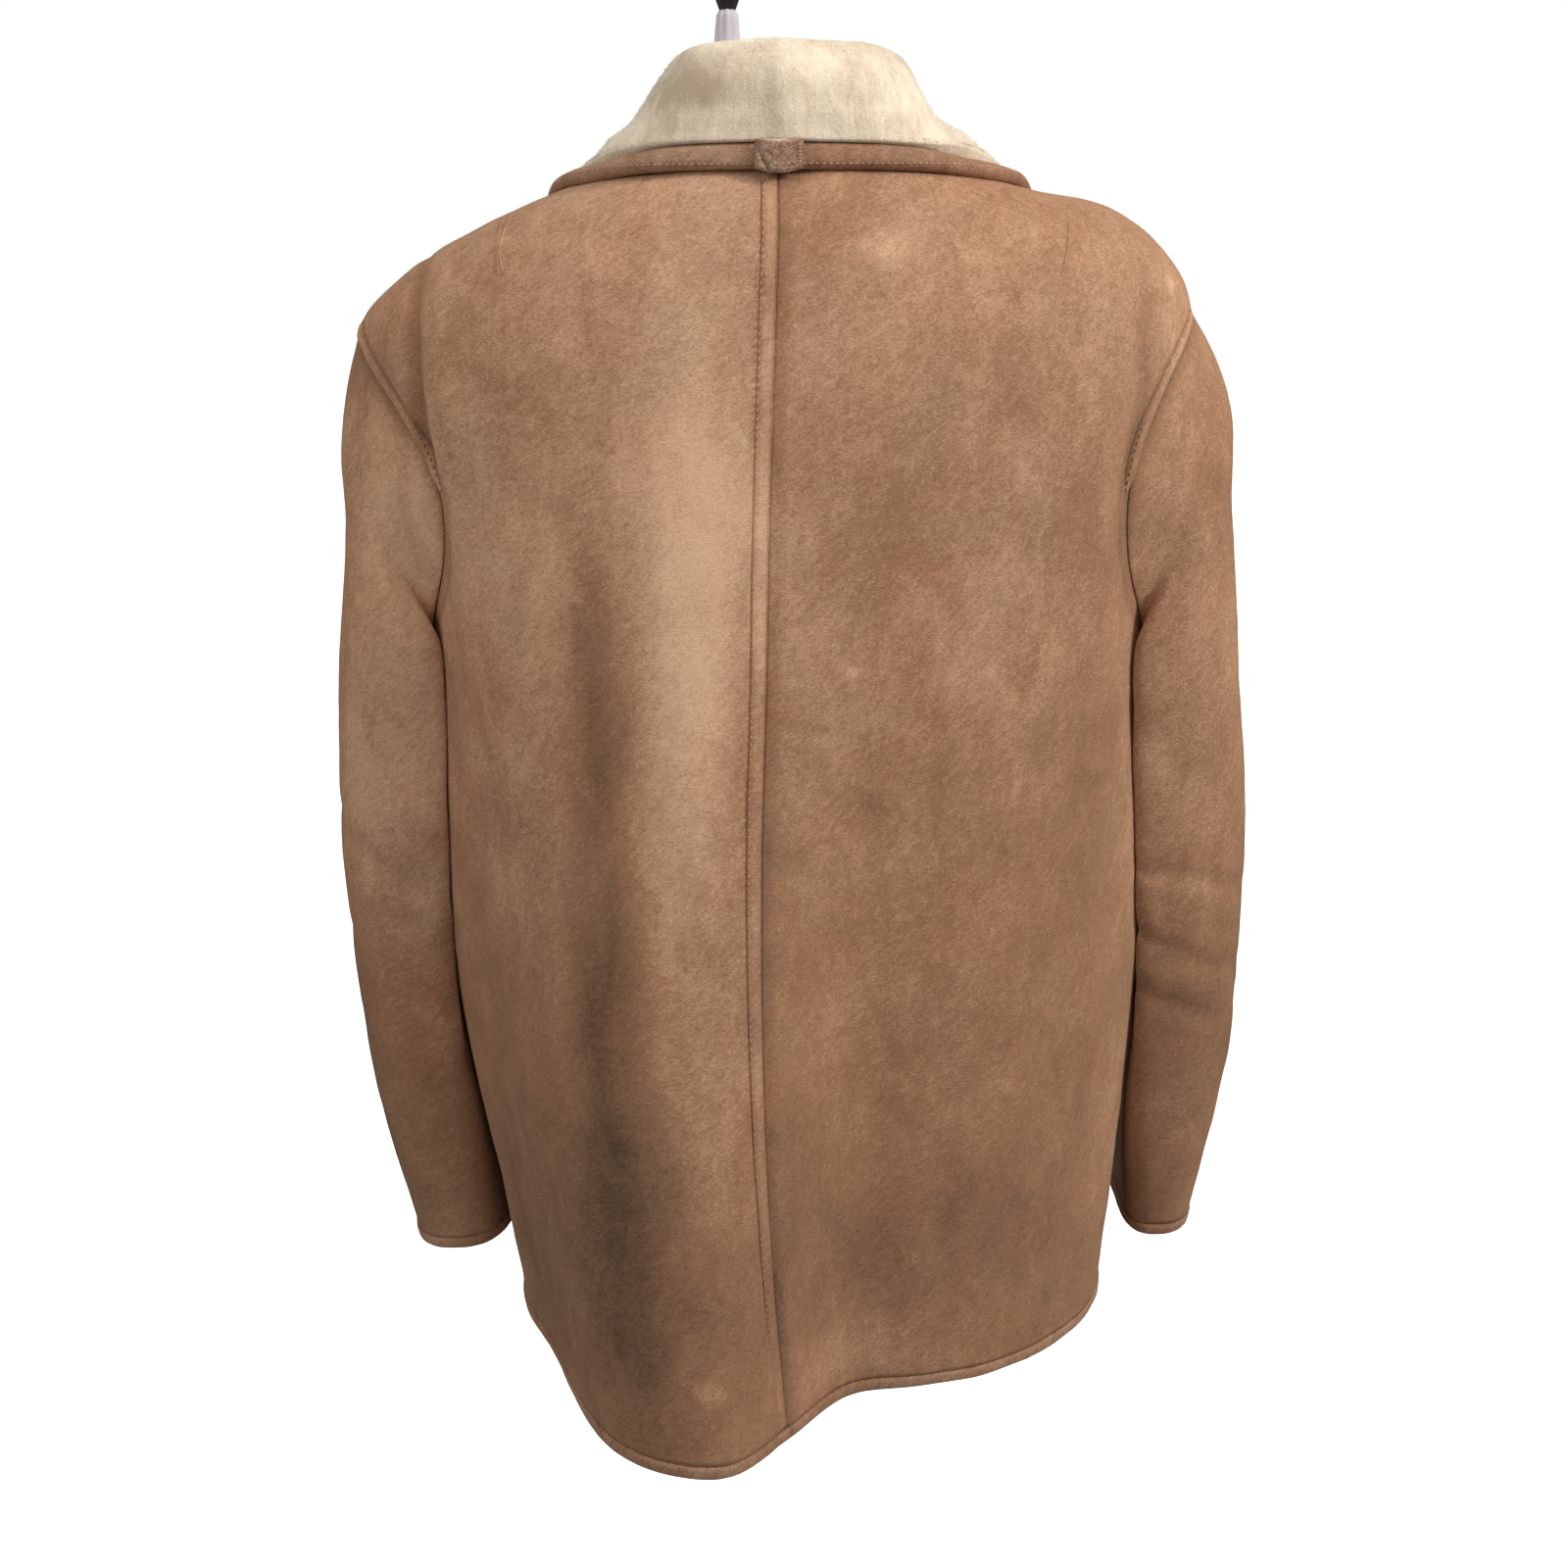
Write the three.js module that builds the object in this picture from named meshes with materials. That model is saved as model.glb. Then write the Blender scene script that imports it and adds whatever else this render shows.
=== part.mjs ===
// A hip-length shearling coat hanging on a padded hanger: suede outside, clipped wool inside, and a
// broad shawl collar turned over to its wool side. Millimetres, +Z up, the front towards -Y, and the
// wearer's left towards +X. The origin is the top of the hook's inside, where a rail carries it.
import * as THREE from "three";

const SKIN = 6; // suede and clipped wool together
const COLLAR_SKIN = 8; // the collar's wool is longer
const SEAM_GAP = 0.3;
const BINDING = 10; // width of the rolled suede edge at hem, cuffs and fronts
const COLLAR_BINDING = 15;
const SQUARENESS = 2.3; // exponent of the body's oval: 2 is an ellipse
const SLEEVE_SQUARENESS = 2.5;

// The coat's own frame has its origin on the centre line at the nape, and the hanger has slipped
// towards the left shoulder, so its hook stands off the centre line.
const HOOK = { x: 32, y: -5, foot: 76, rise: 130, bend: 20, wire: 5, ferrule: 14 };

// Rows of plain numbers under named columns.
function table(columns, rows) {
  return rows.map((row) => Object.fromEntries(columns.map((name, i) => [name, row[i]])));
}

// Rings round the body, from the hem up. at: path up the side; left, right: half-widths; back, mid,
// front: where the oval lies in Y; the z columns: the ring's height there; seam: X of the back seam.
const BODY_RINGS = table(
  ["at", "left", "right", "back", "mid", "front", "zBack", "zLeft", "zRight", "zFront", "seam"],
  [
    [0, 185, 224, 100, -40, -188, -760, -760, -753, -752, -3],
    [90, 196, 229, 103, -40, -190, -670, -670, -670, -664, 4],
    [174, 211, 234, 106, -40, -190, -586, -586, -586, -582, 9],
    [270, 223, 239, 111, -39, -189, -490, -490, -490, -488, 12],
    [390, 225, 233, 114, -37, -186, -370, -370, -370, -370, 12],
    [460, 223, 228, 117, -33, -182, -300, -300, -300, -302, 10],
    [570, 225, 226, 119, -22, -172, -205, -190, -190, -218, 8],
    [675, 247, 237, 112, -10, -150, -112, -90, -81, -146, 5],
    [715, 222, 224, 107, -7, -138, -80, -67, -58, -124, 4],
    [762, 184, 191, 99, -5, -120, -50, -45, -32, -106, 3],
    [822, 130, 136, 84, -4, -96, -20, -22, -19, -88, 3],
    [876, 80, 80, 62, -4, -70, -2, -5, -5, -72, 2],
  ],
);
const UNDERARM_AT = 460;
const SHOULDER_TIP_AT = 675;
const NECK_AT = 876;
const ARMHOLE_BACK_TURN = 33; // how far round the body the armhole reaches behind the side seam
const ARMHOLE_BACK_HIGH = 0.12; // by this share further above its middle, and less below it
const ARMHOLE_FRONT_TURN = 33;

// Folds in the body. turn: where round the body; right, left: half-widths in degrees at half depth;
// sharpRight, sharpLeft: how square its sides are; push: the way it stands out; from, peak, to: its
// top, deepest place and end, up the side.
const BODY_FOLDS = table(
  ["name", "turn", "right", "left", "sharpRight", "sharpLeft", "push", "depth", "from", "peak", "to"],
  [
    ["great flute left of the back seam", 19, 19.8, 24, 4.5, 3.2, 0, 86, 640, -40, -900],
    ["hollow beside the flute", 30, 7, 9, 2, 2, 28, -9, 610, 330, -260],
    ["right back, soft", -33, 12, 12, 2, 2, 0, 5, 560, 200, -300],
    ["left armhole drape", 49, 10, 7, 2, 2, 40, 8, 700, 560, 330],
    ["right armhole drape", -50, 7, 10, 2, 2, -40, 7, 700, 560, 330],
    ["left front flute", 142, 13, 13, 2.6, 2.6, 165, 24, 520, -20, -900],
    ["right front flute", -140, 12, 13, 2.6, 2.6, -165, 19, 480, -20, -900],
  ],
);

// The fronts cross at the middle and open into a V above the break of the lapels.
const OVERLAP = 24;
const BREAK_AT = 425;
const V_EASE = 1.8;
const NECK_OPEN_TURN = 112; // where the V starts, round the neck
const UNDERLAP = { depth: 9.6, from: -76, to: -34 }; // the right front passes behind the left

// Rings along each sleeve after the armhole: its inner and outer X, front and back Y, the heights of
// its inner and outer side, and how far its back tucks in towards the body.
const SLEEVE_RINGS = {
  left: [
    { along: 40, xIn: 228, xOut: 262, yFront: -112, yBack: 44, zIn: -303, zOut: -128, tuck: 18 },
    { along: 110, xIn: 229, xOut: 268, yFront: -122, yBack: 45, zIn: -312, zOut: -205, tuck: 26 },
    { along: 200, xIn: 228, xOut: 280, yFront: -126, yBack: 43, zIn: -338, zOut: -300, tuck: 29 },
    { along: 300, xIn: 229, xOut: 289, yFront: -130, yBack: 36, zIn: -414, zOut: -402, tuck: 27 },
    { along: 400, xIn: 225, xOut: 289, yFront: -131, yBack: 25, zIn: -506, zOut: -500, tuck: 21 },
    { along: 500, xIn: 213, xOut: 282, yFront: -128, yBack: 12, zIn: -601, zOut: -600, tuck: 14 },
    { along: 625, xIn: 194, xOut: 263, yFront: -118, yBack: -7, zIn: -716, zOut: -724, tuck: 2 },
  ],
  right: [
    { along: 40, xIn: 232, xOut: 262, yFront: -112, yBack: 44, zIn: -303, zOut: -118, tuck: 18 },
    { along: 110, xIn: 234, xOut: 274, yFront: -122, yBack: 45, zIn: -312, zOut: -205, tuck: 26 },
    { along: 200, xIn: 235, xOut: 287, yFront: -126, yBack: 42, zIn: -338, zOut: -300, tuck: 29 },
    { along: 300, xIn: 242, xOut: 301, yFront: -131, yBack: 34, zIn: -414, zOut: -402, tuck: 30 },
    { along: 400, xIn: 245, xOut: 306, yFront: -133, yBack: 23, zIn: -506, zOut: -500, tuck: 26 },
    { along: 500, xIn: 242, xOut: 304, yFront: -133, yBack: 11, zIn: -601, zOut: -600, tuck: 18 },
    { along: 615, xIn: 242, xOut: 290, yFront: -132, yBack: -8, zIn: -712, zOut: -708, tuck: 4 },
  ],
};
const SLEEVE_SEAM_STEP = 0.65; // from the armhole to the sleeve's first ring
const SLEEVE_END = { left: 625, right: 615 };
const UNDER_SLEEVE = { from: 140, to: 220 }; // the narrow under piece, on the side next to the body

// Stations along the shawl collar, from the back seam to the break. seamTurn or seamAt: its place on
// the neck or down the V; edgeTurn, edgeAt: where its outer edge lies on the body; rollIn, rollUp,
// fallOut: how far the roll leans in, stands up and comes out; bulge: of the fall between roll and edge.
const COLLAR_STATIONS = table(
  ["seamTurn", "seamAt", "edgeTurn", "edgeAt", "rollIn", "rollUp", "fallOut", "bulge"],
  [
    [0, 876, 0, 828, 5, 56, 17, 2],
    [30, 876, 30, 828, 7, 55, 15, -1],
    [60, 876, 58, 824, 15, 52, 9, -9],
    [88, 876, 85, 820, 18, 48, 6, -10],
    [112, 876, 108, 800, 15, 42, 7, -7],
    [0, 846, 124, 772, 12, 30, 10, -3],
    [0, 780, 138, 720, 9, 23, 11, 2],
    [0, 700, 149, 650, 8, 21, 11, 3],
    [0, 610, 156, 580, 6, 19, 10, 2],
    [0, 535, 162, 528, 3, 15, 9, 1],
  ],
);
const COLLAR_LIFT = 2.9; // clearance under the fall
const COLLAR_SEAM_GAP = 1.1; // clears the flat facets of the neck edge
// The loop: its width, how far its ends reach above and below the band's edge, how far it stands off
// the band in the middle, and how fast the neck falls away from it to each side.
const LOOP = { wide: 26, top: 14, below: 5.5, stands: 4.5, thick: 2, x: 2, fallAway: 0.0045 };
const COLLAR_BAND = { out: 4.5, in: 0.6 }; // how far the binding reaches to each side of the suede
const BUTTONS = { at: [400, 300, 200, 100], radius: 14, thick: 5, x: 0, clear: 0.25 };

// The hanger's padded bar: half-height and half-depth at the middle and at the tips.
const HANGER = { high: 15, deep: 19, tipHigh: 8, tipDeep: 11, clear: 0.6, tipOut: 7, tipDown: 7 };
const HANGER_FULLNESS = [0.35, 0.75, 0.9, 1]; // share of the full size, from each tip inwards
// Under the open neck the bar is an arch: its stations across, its top, middle, half-width and fall.
const ARCH = { across: [72, HOOK.x, -20, -72], crown: -6, middle: 4, half: 76, fall: 10 };
const HANGER_NECK = { foot: 9, waist: 8.2, waistFrom: 20, waistTo: 52, top: 5.5, bevel: 3 };

const rad = THREE.MathUtils.degToRad;
const clamp01 = (t) => Math.min(1, Math.max(0, t));
const ease = (t) => clamp01(t) ** 2 * (3 - 2 * clamp01(t));
const signedPower = (v, p) => Math.sign(v) * Math.abs(v) ** p;
const steps = (n) => Array.from({ length: n + 1 }, (_, i) => i / n);
const vec = (x, y, z) => new THREE.Vector3(x, y, z);

// The smooth curve through (keys[i], values[i]) at t.
function through(keys, values, t) {
  const last = keys.length - 1;
  let i = 0;
  while (i < last - 1 && t > keys[i + 1]) i += 1;
  const slope = (k) => (values[k + 1] - values[k]) / (keys[k + 1] - keys[k]);
  const tangent = (k) => {
    if (k === 0) return slope(0);
    if (k === last) return slope(last - 1);
    const before = keys[k] - keys[k - 1];
    const after = keys[k + 1] - keys[k];
    return (slope(k - 1) * after + slope(k) * before) / (before + after);
  };
  const h = keys[i + 1] - keys[i];
  const s = (t - keys[i]) / h;
  const a = 2 * s ** 3 - 3 * s ** 2 + 1;
  const b = s ** 3 - 2 * s ** 2 + s;
  const c = -2 * s ** 3 + 3 * s ** 2;
  const d = s ** 3 - s ** 2;
  return a * values[i] + b * h * tangent(i) + c * values[i + 1] + d * h * tangent(i + 1);
}
const BODY_KEYS = BODY_RINGS.map((r) => r.at);
const ringValue = (name, at) => through(BODY_KEYS, BODY_RINGS.map((r) => r[name]), at);

function throughPoints(keys, points, t) {
  return vec(...["x", "y", "z"].map((axis) => through(keys, points.map((p) => p[axis]), t)));
}

function foldWeight(fold, turn, at) {
  const offset = turn - fold.turn;
  const width = offset < 0 ? fold.right : fold.left;
  const sharp = offset < 0 ? fold.sharpRight : fold.sharpLeft;
  const across = Math.exp(-Math.LN2 * Math.abs(offset / width) ** sharp);
  const along = at > fold.peak
    ? ease((fold.from - at) / (fold.from - fold.peak))
    : ease((at - fold.to) / (fold.peak - fold.to));
  return fold.depth * across * along;
}

// The suede surface of the body. turn: degrees round from the centre back, + to the wearer's left.
function bodyPoint(turn, at) {
  const s = Math.sin(rad(turn));
  const c = Math.cos(rad(turn));
  const power = 2 / SQUARENESS;
  const mid = ringValue("mid", at);
  const zSide = ringValue(s >= 0 ? "zLeft" : "zRight", at);
  const p = vec(
    ringValue(s >= 0 ? "left" : "right", at) * signedPower(s, power),
    mid + (ringValue(c >= 0 ? "back" : "front", at) - mid) * Math.abs(c) ** power,
    zSide + (ringValue(c >= 0 ? "zBack" : "zFront", at) - zSide) * c * c,
  );
  for (const fold of BODY_FOLDS) {
    const stand = foldWeight(fold, turn, at);
    p.x += stand * Math.sin(rad(fold.push));
    p.y += stand * Math.cos(rad(fold.push));
  }
  return p;
}

// The right front passes behind the left one.
function rightFrontPoint(turn, at) {
  const p = bodyPoint(turn, at);
  p.y += UNDERLAP.depth * ease((p.x - UNDERLAP.from) / (UNDERLAP.to - UNDERLAP.from));
  return p;
}

// Turn of the point of ring `at` that lies at x, on the back or on the front.
function turnAtX(x, at, onFront) {
  const half = ringValue(x >= 0 ? "left" : "right", at);
  const turn = THREE.MathUtils.radToDeg(Math.asin(signedPower(x / half, SQUARENESS / 2)));
  return onFront ? 180 - turn : turn;
}

function normalOf(surface, u, v, du, dv) {
  const across = surface(u + du, v).sub(surface(u - du, v));
  const along = surface(u, v + dv).sub(surface(u, v - dv));
  return across.cross(along).normalize();
}
// Outward normal; the differences stay inside the table at the neck and the hem.
function bodyNormal(surface, turn, at) {
  const inside = Math.min(Math.max(at, 1), NECK_AT - 1);
  return normalOf(surface, turn, inside, 0.5, 1).negate();
}

// Half of the distance across the front at which its edge lies, from hem to neck, on the left.
function frontEdgeTurn(at) {
  if (at <= BREAK_AT) return turnAtX(-OVERLAP, at, true);
  const up = (at - BREAK_AT) / (NECK_AT - BREAK_AT);
  const xNeck = ringValue("left", NECK_AT) * Math.sin(rad(NECK_OPEN_TURN)) ** (2 / SQUARENESS);
  return turnAtX(-OVERLAP + (xNeck + OVERLAP) * (1 - (1 - up) ** V_EASE), at, true);
}

// The armhole as a loop; phase 0 is the shoulder tip, 90 the back, 180 the underarm. It is between
// an oval and a pointed one.
const ARMHOLE_OVAL = 0.5;
function armholeAt(phase) {
  const round = Math.abs(THREE.MathUtils.euclideanModulo(phase + 180, 360) - 180);
  const oval = 0.5 + 0.5 * Math.cos(rad(round));
  const up = THREE.MathUtils.lerp(1 - round / 180, oval, ARMHOLE_OVAL);
  return UNDERARM_AT + (SHOULDER_TIP_AT - UNDERARM_AT) * up;
}
function armholeReach(phase) {
  const sine = Math.sin(rad(phase));
  if (sine < 0) return ARMHOLE_FRONT_TURN * sine;
  return ARMHOLE_BACK_TURN * sine * (1 + ARMHOLE_BACK_HIGH * Math.cos(rad(phase)));
}
function armhole(side, phase) {
  const turn = 90 - armholeReach(phase);
  return { turn: side === "left" ? turn : -turn, at: armholeAt(phase) };
}
// The phase, from 0 to 180, of the armhole's point at the ring `at`.
function armholePhase(at) {
  let low = 0;
  let high = 180;
  for (let i = 0; i < 40; i += 1) {
    const middle = (low + high) / 2;
    if (armholeAt(middle) > at) low = middle;
    else high = middle;
  }
  return (low + high) / 2;
}
// How far round the body its side seam, armhole or shoulder seam lies. way: 1 behind, -1 in front.
function sideTurn(at, way) {
  if (at <= UNDERARM_AT || at >= SHOULDER_TIP_AT) return 90;
  return 90 - armholeReach(way * armholePhase(at));
}

// How far out the body's side reaches at a given Y and height below the shoulder.
const SIDE_TURNS = { from: 30, to: 150 };
function bodyReach(side, y, z) {
  const mirror = side === "left" ? 1 : -1;
  const at = Math.max(z - ringValue("zBack", 0), 0);
  const point = (turn) => bodyPoint(mirror * turn, at);
  const turns = steps(40).map((t) => SIDE_TURNS.from + (SIDE_TURNS.to - SIDE_TURNS.from) * t);
  const next = turns.findIndex((turn) => point(turn).y <= y);
  if (next < 1) return 0;
  const a = point(turns[next - 1]);
  const b = point(turns[next]);
  return mirror * THREE.MathUtils.lerp(a.x, b.x, (a.y - y) / (a.y - b.y));
}

// The suede surface of a sleeve. Its back tucks in, and it stays just clear of the body.
const SLEEVE_CLEAR = 4.5;
const OUTER_SIDE = 0.8; // beyond this share of its half-width a sleeve is well away from the body
function sleeveRing(side, phase, r) {
  const mirror = side === "left" ? 1 : -1;
  const power = 2 / SLEEVE_SQUARENESS;
  const c = signedPower(Math.cos(rad(phase)), power);
  const s = signedPower(Math.sin(rad(phase)), power);
  const tucked = Math.max(s, 0) ** 2 * (1 - c);
  const y = (r.yFront + r.yBack) / 2 + ((r.yBack - r.yFront) / 2) * s;
  const z = (r.zIn + r.zOut) / 2 + ((r.zOut - r.zIn) / 2) * Math.cos(rad(phase));
  const x = (r.xIn + r.xOut) / 2 + ((r.xOut - r.xIn) / 2) * c - r.tuck * tucked;
  const least = c > OUTER_SIDE ? 0 : bodyReach(side, y, z) + SLEEVE_CLEAR;
  return vec(mirror * Math.max(x, least), y, z);
}
const ringCache = new Map();
function ringPoints(side, phase) {
  const key = `${side} ${phase}`;
  if (!ringCache.has(key)) {
    ringCache.set(key, SLEEVE_RINGS[side].map((r) => sleeveRing(side, phase, r)));
  }
  return ringCache.get(key);
}
function sleevePoint(side, phase, along) {
  const hole = armhole(side, phase);
  const points = [bodyPoint(hole.turn, hole.at), ...ringPoints(side, phase)];
  return throughPoints([0, ...SLEEVE_RINGS[side].map((r) => r.along)], points, along);
}
function sleeveNormal(side, phase, along) {
  const inside = Math.min(Math.max(along, 1), SLEEVE_END[side] - 1);
  const mirror = side === "left" ? 1 : -1;
  return normalOf((u, v) => sleevePoint(side, u, v), phase, inside, 1, 1).multiplyScalar(-mirror);
}

// At the armhole both walls end on one mitre. Its inner point, for the body's wall and the sleeve's.
const MITRE_MOST = 1.5;
function mitre(side, phase) {
  const hole = armhole(side, phase);
  const body = bodyNormal(bodyPoint, hole.turn, hole.at);
  const sleeve = sleeveNormal(side, phase, 0);
  const middle = body.clone().add(sleeve).normalize();
  const reach = Math.min(MITRE_MOST, 1 / Math.max(0.1, middle.dot(body)));
  return bodyPoint(hole.turn, hole.at).addScaledVector(middle, -SKIN * reach);
}
// The step from the mitre's plane into the sleeve that leaves the seam's gap.
function mitreStep(side, phase) {
  const edge = (turned) => sleevePoint(side, phase + turned, 0);
  const across = edge(1).sub(edge(-1));
  const step = across.cross(edge(0).sub(mitre(side, phase))).normalize();
  const sleeveWay = sleevePoint(side, phase, 5).sub(edge(0));
  return step.multiplyScalar(Math.sign(step.dot(sleeveWay)) * SLEEVE_SEAM_STEP);
}

// A closed wall between two grids of points with the same rows and columns.
function wall(outer, inner, ringed = false) {
  const rows = outer.length;
  const columns = outer[0].length;
  const points = [...outer.flat(), ...inner.flat()];
  const positions = points.flatMap((p) => [p.x, p.y, p.z]);
  const faces = [];
  // Each four-sided face is cut along its shorter diagonal, so that two that meet are cut alike.
  const quad = (a, b, c, d) => {
    const first = points[a].distanceTo(points[c]);
    if (first <= points[b].distanceTo(points[d])) faces.push(a, b, c, a, c, d);
    else faces.push(a, b, d, b, c, d);
  };
  const at = (layer, i, j) => layer * rows * columns + i * columns + (j % columns);
  const spans = ringed ? columns : columns - 1;
  for (let i = 0; i < rows - 1; i += 1) {
    for (let j = 0; j < spans; j += 1) {
      quad(at(0, i, j), at(0, i, j + 1), at(0, i + 1, j + 1), at(0, i + 1, j));
      quad(at(1, i, j), at(1, i + 1, j), at(1, i + 1, j + 1), at(1, i, j + 1));
    }
    if (ringed) continue;
    const last = columns - 1;
    quad(at(0, i, 0), at(0, i + 1, 0), at(1, i + 1, 0), at(1, i, 0));
    quad(at(0, i, last), at(1, i, last), at(1, i + 1, last), at(0, i + 1, last));
  }
  for (let j = 0; j < spans; j += 1) {
    quad(at(0, 0, j), at(1, 0, j), at(1, 0, j + 1), at(0, 0, j + 1));
    quad(at(0, rows - 1, j), at(0, rows - 1, j + 1), at(1, rows - 1, j + 1), at(1, rows - 1, j));
  }
  return facingOut(positions, faces);
}

// A closed bar: sections[i] is the same polygon at each step of its way.
function bar(sections, ringed = false) {
  const sides = sections[0].length;
  const count = sections.length;
  const positions = sections.flat().flatMap((p) => [p.x, p.y, p.z]);
  const faces = [];
  const at = (i, j) => (i % count) * sides + (j % sides);
  for (let i = 0; i < (ringed ? count : count - 1); i += 1) {
    for (let j = 0; j < sides; j += 1) {
      faces.push(at(i, j), at(i, j + 1), at(i + 1, j + 1), at(i, j), at(i + 1, j + 1), at(i + 1, j));
    }
  }
  if (!ringed) {
    for (let j = 1; j < sides - 1; j += 1) {
      faces.push(at(0, 0), at(0, j + 1), at(0, j));
      faces.push(at(count - 1, 0), at(count - 1, j), at(count - 1, j + 1));
    }
  }
  return facingOut(positions, faces);
}

// The geometry, with its faces turned so that it holds a positive volume.
function facingOut(positions, faces) {
  const corner = (k) => vec(...positions.slice(3 * faces[k], 3 * faces[k] + 3));
  let volume = 0;
  for (let k = 0; k < faces.length; k += 3) {
    volume += corner(k).dot(corner(k + 1).cross(corner(k + 2)));
  }
  const geometry = new THREE.BufferGeometry();
  geometry.setAttribute("position", new THREE.Float32BufferAttribute(positions, 3));
  geometry.setIndex(volume > 0 ? faces : faces.toReversed());
  geometry.computeVertexNormals();
  return geometry;
}

const suede = new THREE.MeshStandardMaterial({ color: 0xa87c5c, roughness: 0.95, metalness: 0 });
const binding = new THREE.MeshStandardMaterial({ color: 0x9c6e4e, roughness: 0.9, metalness: 0 });
const wool = new THREE.MeshStandardMaterial({ color: 0xcdbd9e, roughness: 1, metalness: 0 });
const horn = new THREE.MeshStandardMaterial({ color: 0x4a2f1e, roughness: 0.4, metalness: 0 });
const cloth = new THREE.MeshStandardMaterial({ color: 0xd6cfd2, roughness: 0.9, metalness: 0 });
const black = new THREE.MeshStandardMaterial({ color: 0x101010, roughness: 0.35, metalness: 0.2 });

const coat = new THREE.Group();
coat.position.set(-HOOK.x, -HOOK.y, -(HOOK.rise + HOOK.bend - HOOK.wire / 2));
function add(name, geometry, material) {
  const mesh = new THREE.Mesh(geometry, material);
  mesh.name = name;
  coat.add(mesh);
  return mesh;
}

// Rows of a panel: even below the underarm, at the sleeve's own steps along the armhole, then even.
const PHASE_STEPS = 9; // from the underarm to the shoulder tip
const ROWS_BELOW = 9; // from the hem to the underarm
const ROWS_OVER = 6; // from the shoulder tip to the neck
function panelRows(first) {
  const below = steps(ROWS_BELOW).map((t) => first + (UNDERARM_AT - first) * t);
  const hole = steps(PHASE_STEPS).slice(1).map((t) => armholeAt(180 * (1 - t)));
  const over = steps(ROWS_OVER).slice(1);
  return [...below, ...hole, ...over.map((t) => SHOULDER_TIP_AT + (NECK_AT - SHOULDER_TIP_AT) * t)];
}

// A seam's half gap, in degrees round the body.
const HALF_GAP_TURN = 0.09;

// The armhole's mitre point at the height `at`, behind or in front of the side seam.
function holeMitre(side, at, turn) {
  const phase = armholePhase(at);
  return mitre(side, Math.abs(turn) > 90 ? -phase : phase);
}

// The outer and inner points of a body panel, in rows from `firstAt` up, from turn `from` to `to`.
function panelGrids(p, firstAt) {
  const outer = [];
  const inner = [];
  for (const at of panelRows(firstAt)) {
    const turns = steps(p.columns).map((t) => {
      return THREE.MathUtils.lerp(p.from(at) + HALF_GAP_TURN, p.to(at) - HALF_GAP_TURN, t);
    });
    const inHole = at >= UNDERARM_AT && at <= SHOULDER_TIP_AT;
    outer.push(turns.map((turn) => p.surface(turn, at)));
    inner.push(turns.map((turn, j) => {
      if (inHole && j === (p.hole === "to" ? p.columns : 0)) return holeMitre(p.side, at, turn);
      return p.surface(turn, at).addScaledVector(bodyNormal(p.surface, turn, at), -SKIN);
    }));
  }
  return { outer, inner };
}

const HEM_TOP = BINDING + SEAM_GAP;
const backSeamTurn = (at) => turnAtX(ringValue("seam", at), at, false);
const backSide = (at) => sideTurn(at, 1);
const frontSide = (at) => sideTurn(at, -1);
const PANELS = [
  { name: "back_left", side: "left", from: backSeamTurn, to: backSide, columns: 12, hole: "to" },
  {
    name: "back_right", side: "right", columns: 10, hole: "from",
    from: (at) => -backSide(at), to: backSeamTurn,
  },
  { name: "front_left", side: "left", from: frontSide, to: frontEdgeTurn, columns: 9, hole: "from" },
  {
    name: "front_right", side: "right", surface: rightFrontPoint, columns: 9, hole: "to",
    from: (at) => -frontEdgeTurn(at), to: (at) => -frontSide(at),
  },
];
for (const p of PANELS) p.surface ??= bodyPoint;
const grids = {};
for (const p of PANELS) {
  grids[p.name] = panelGrids(p, HEM_TOP);
  add(p.name, wall(grids[p.name].outer, grids[p.name].inner), suede);
}

// The hem's binding wraps the edge of each panel, a little proud of both faces.
const PROUD = 1.2;
for (const p of PANELS) {
  const rows = [0, BINDING];
  const grid = (out) => rows.map((at) => steps(p.columns).map((t) => {
    const turn = THREE.MathUtils.lerp(p.from(at) + HALF_GAP_TURN, p.to(at) - HALF_GAP_TURN, t);
    return p.surface(turn, at).addScaledVector(bodyNormal(p.surface, turn, at), out);
  }));
  add(`hem_binding_${p.name}`, wall(grid(PROUD), grid(-SKIN - PROUD)), binding);
}

// Each sleeve: an upper and an under piece, cut along lines on the side next to the body.
const CUFF_START = BINDING + SEAM_GAP;
const PHASE_STEP = 180 / PHASE_STEPS;
const SLEEVE_HEAD = 40; // the rings are closer together above this
const HALF_GAP_PHASE = 0.35; // a seam's half gap, in degrees round the sleeve
function sleeveGrids(side, phases, alongs, proud = 0) {
  const outer = [];
  const inner = [];
  for (const along of alongs) {
    outer.push(phases.map((phase) => {
      const point = sleevePoint(side, phase, along);
      if (along === 0) return point.add(mitreStep(side, phase));
      return point.addScaledVector(sleeveNormal(side, phase, along), proud);
    }));
    inner.push(phases.map((phase) => {
      if (along === 0) return mitre(side, phase).add(mitreStep(side, phase));
      const point = sleevePoint(side, phase, along);
      return point.addScaledVector(sleeveNormal(side, phase, along), -SKIN - proud);
    }));
  }
  return { outer, inner };
}
function span(from, to) {
  return steps(Math.round((to - from) / PHASE_STEP)).map((t) => from + (to - from) * t);
}
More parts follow.
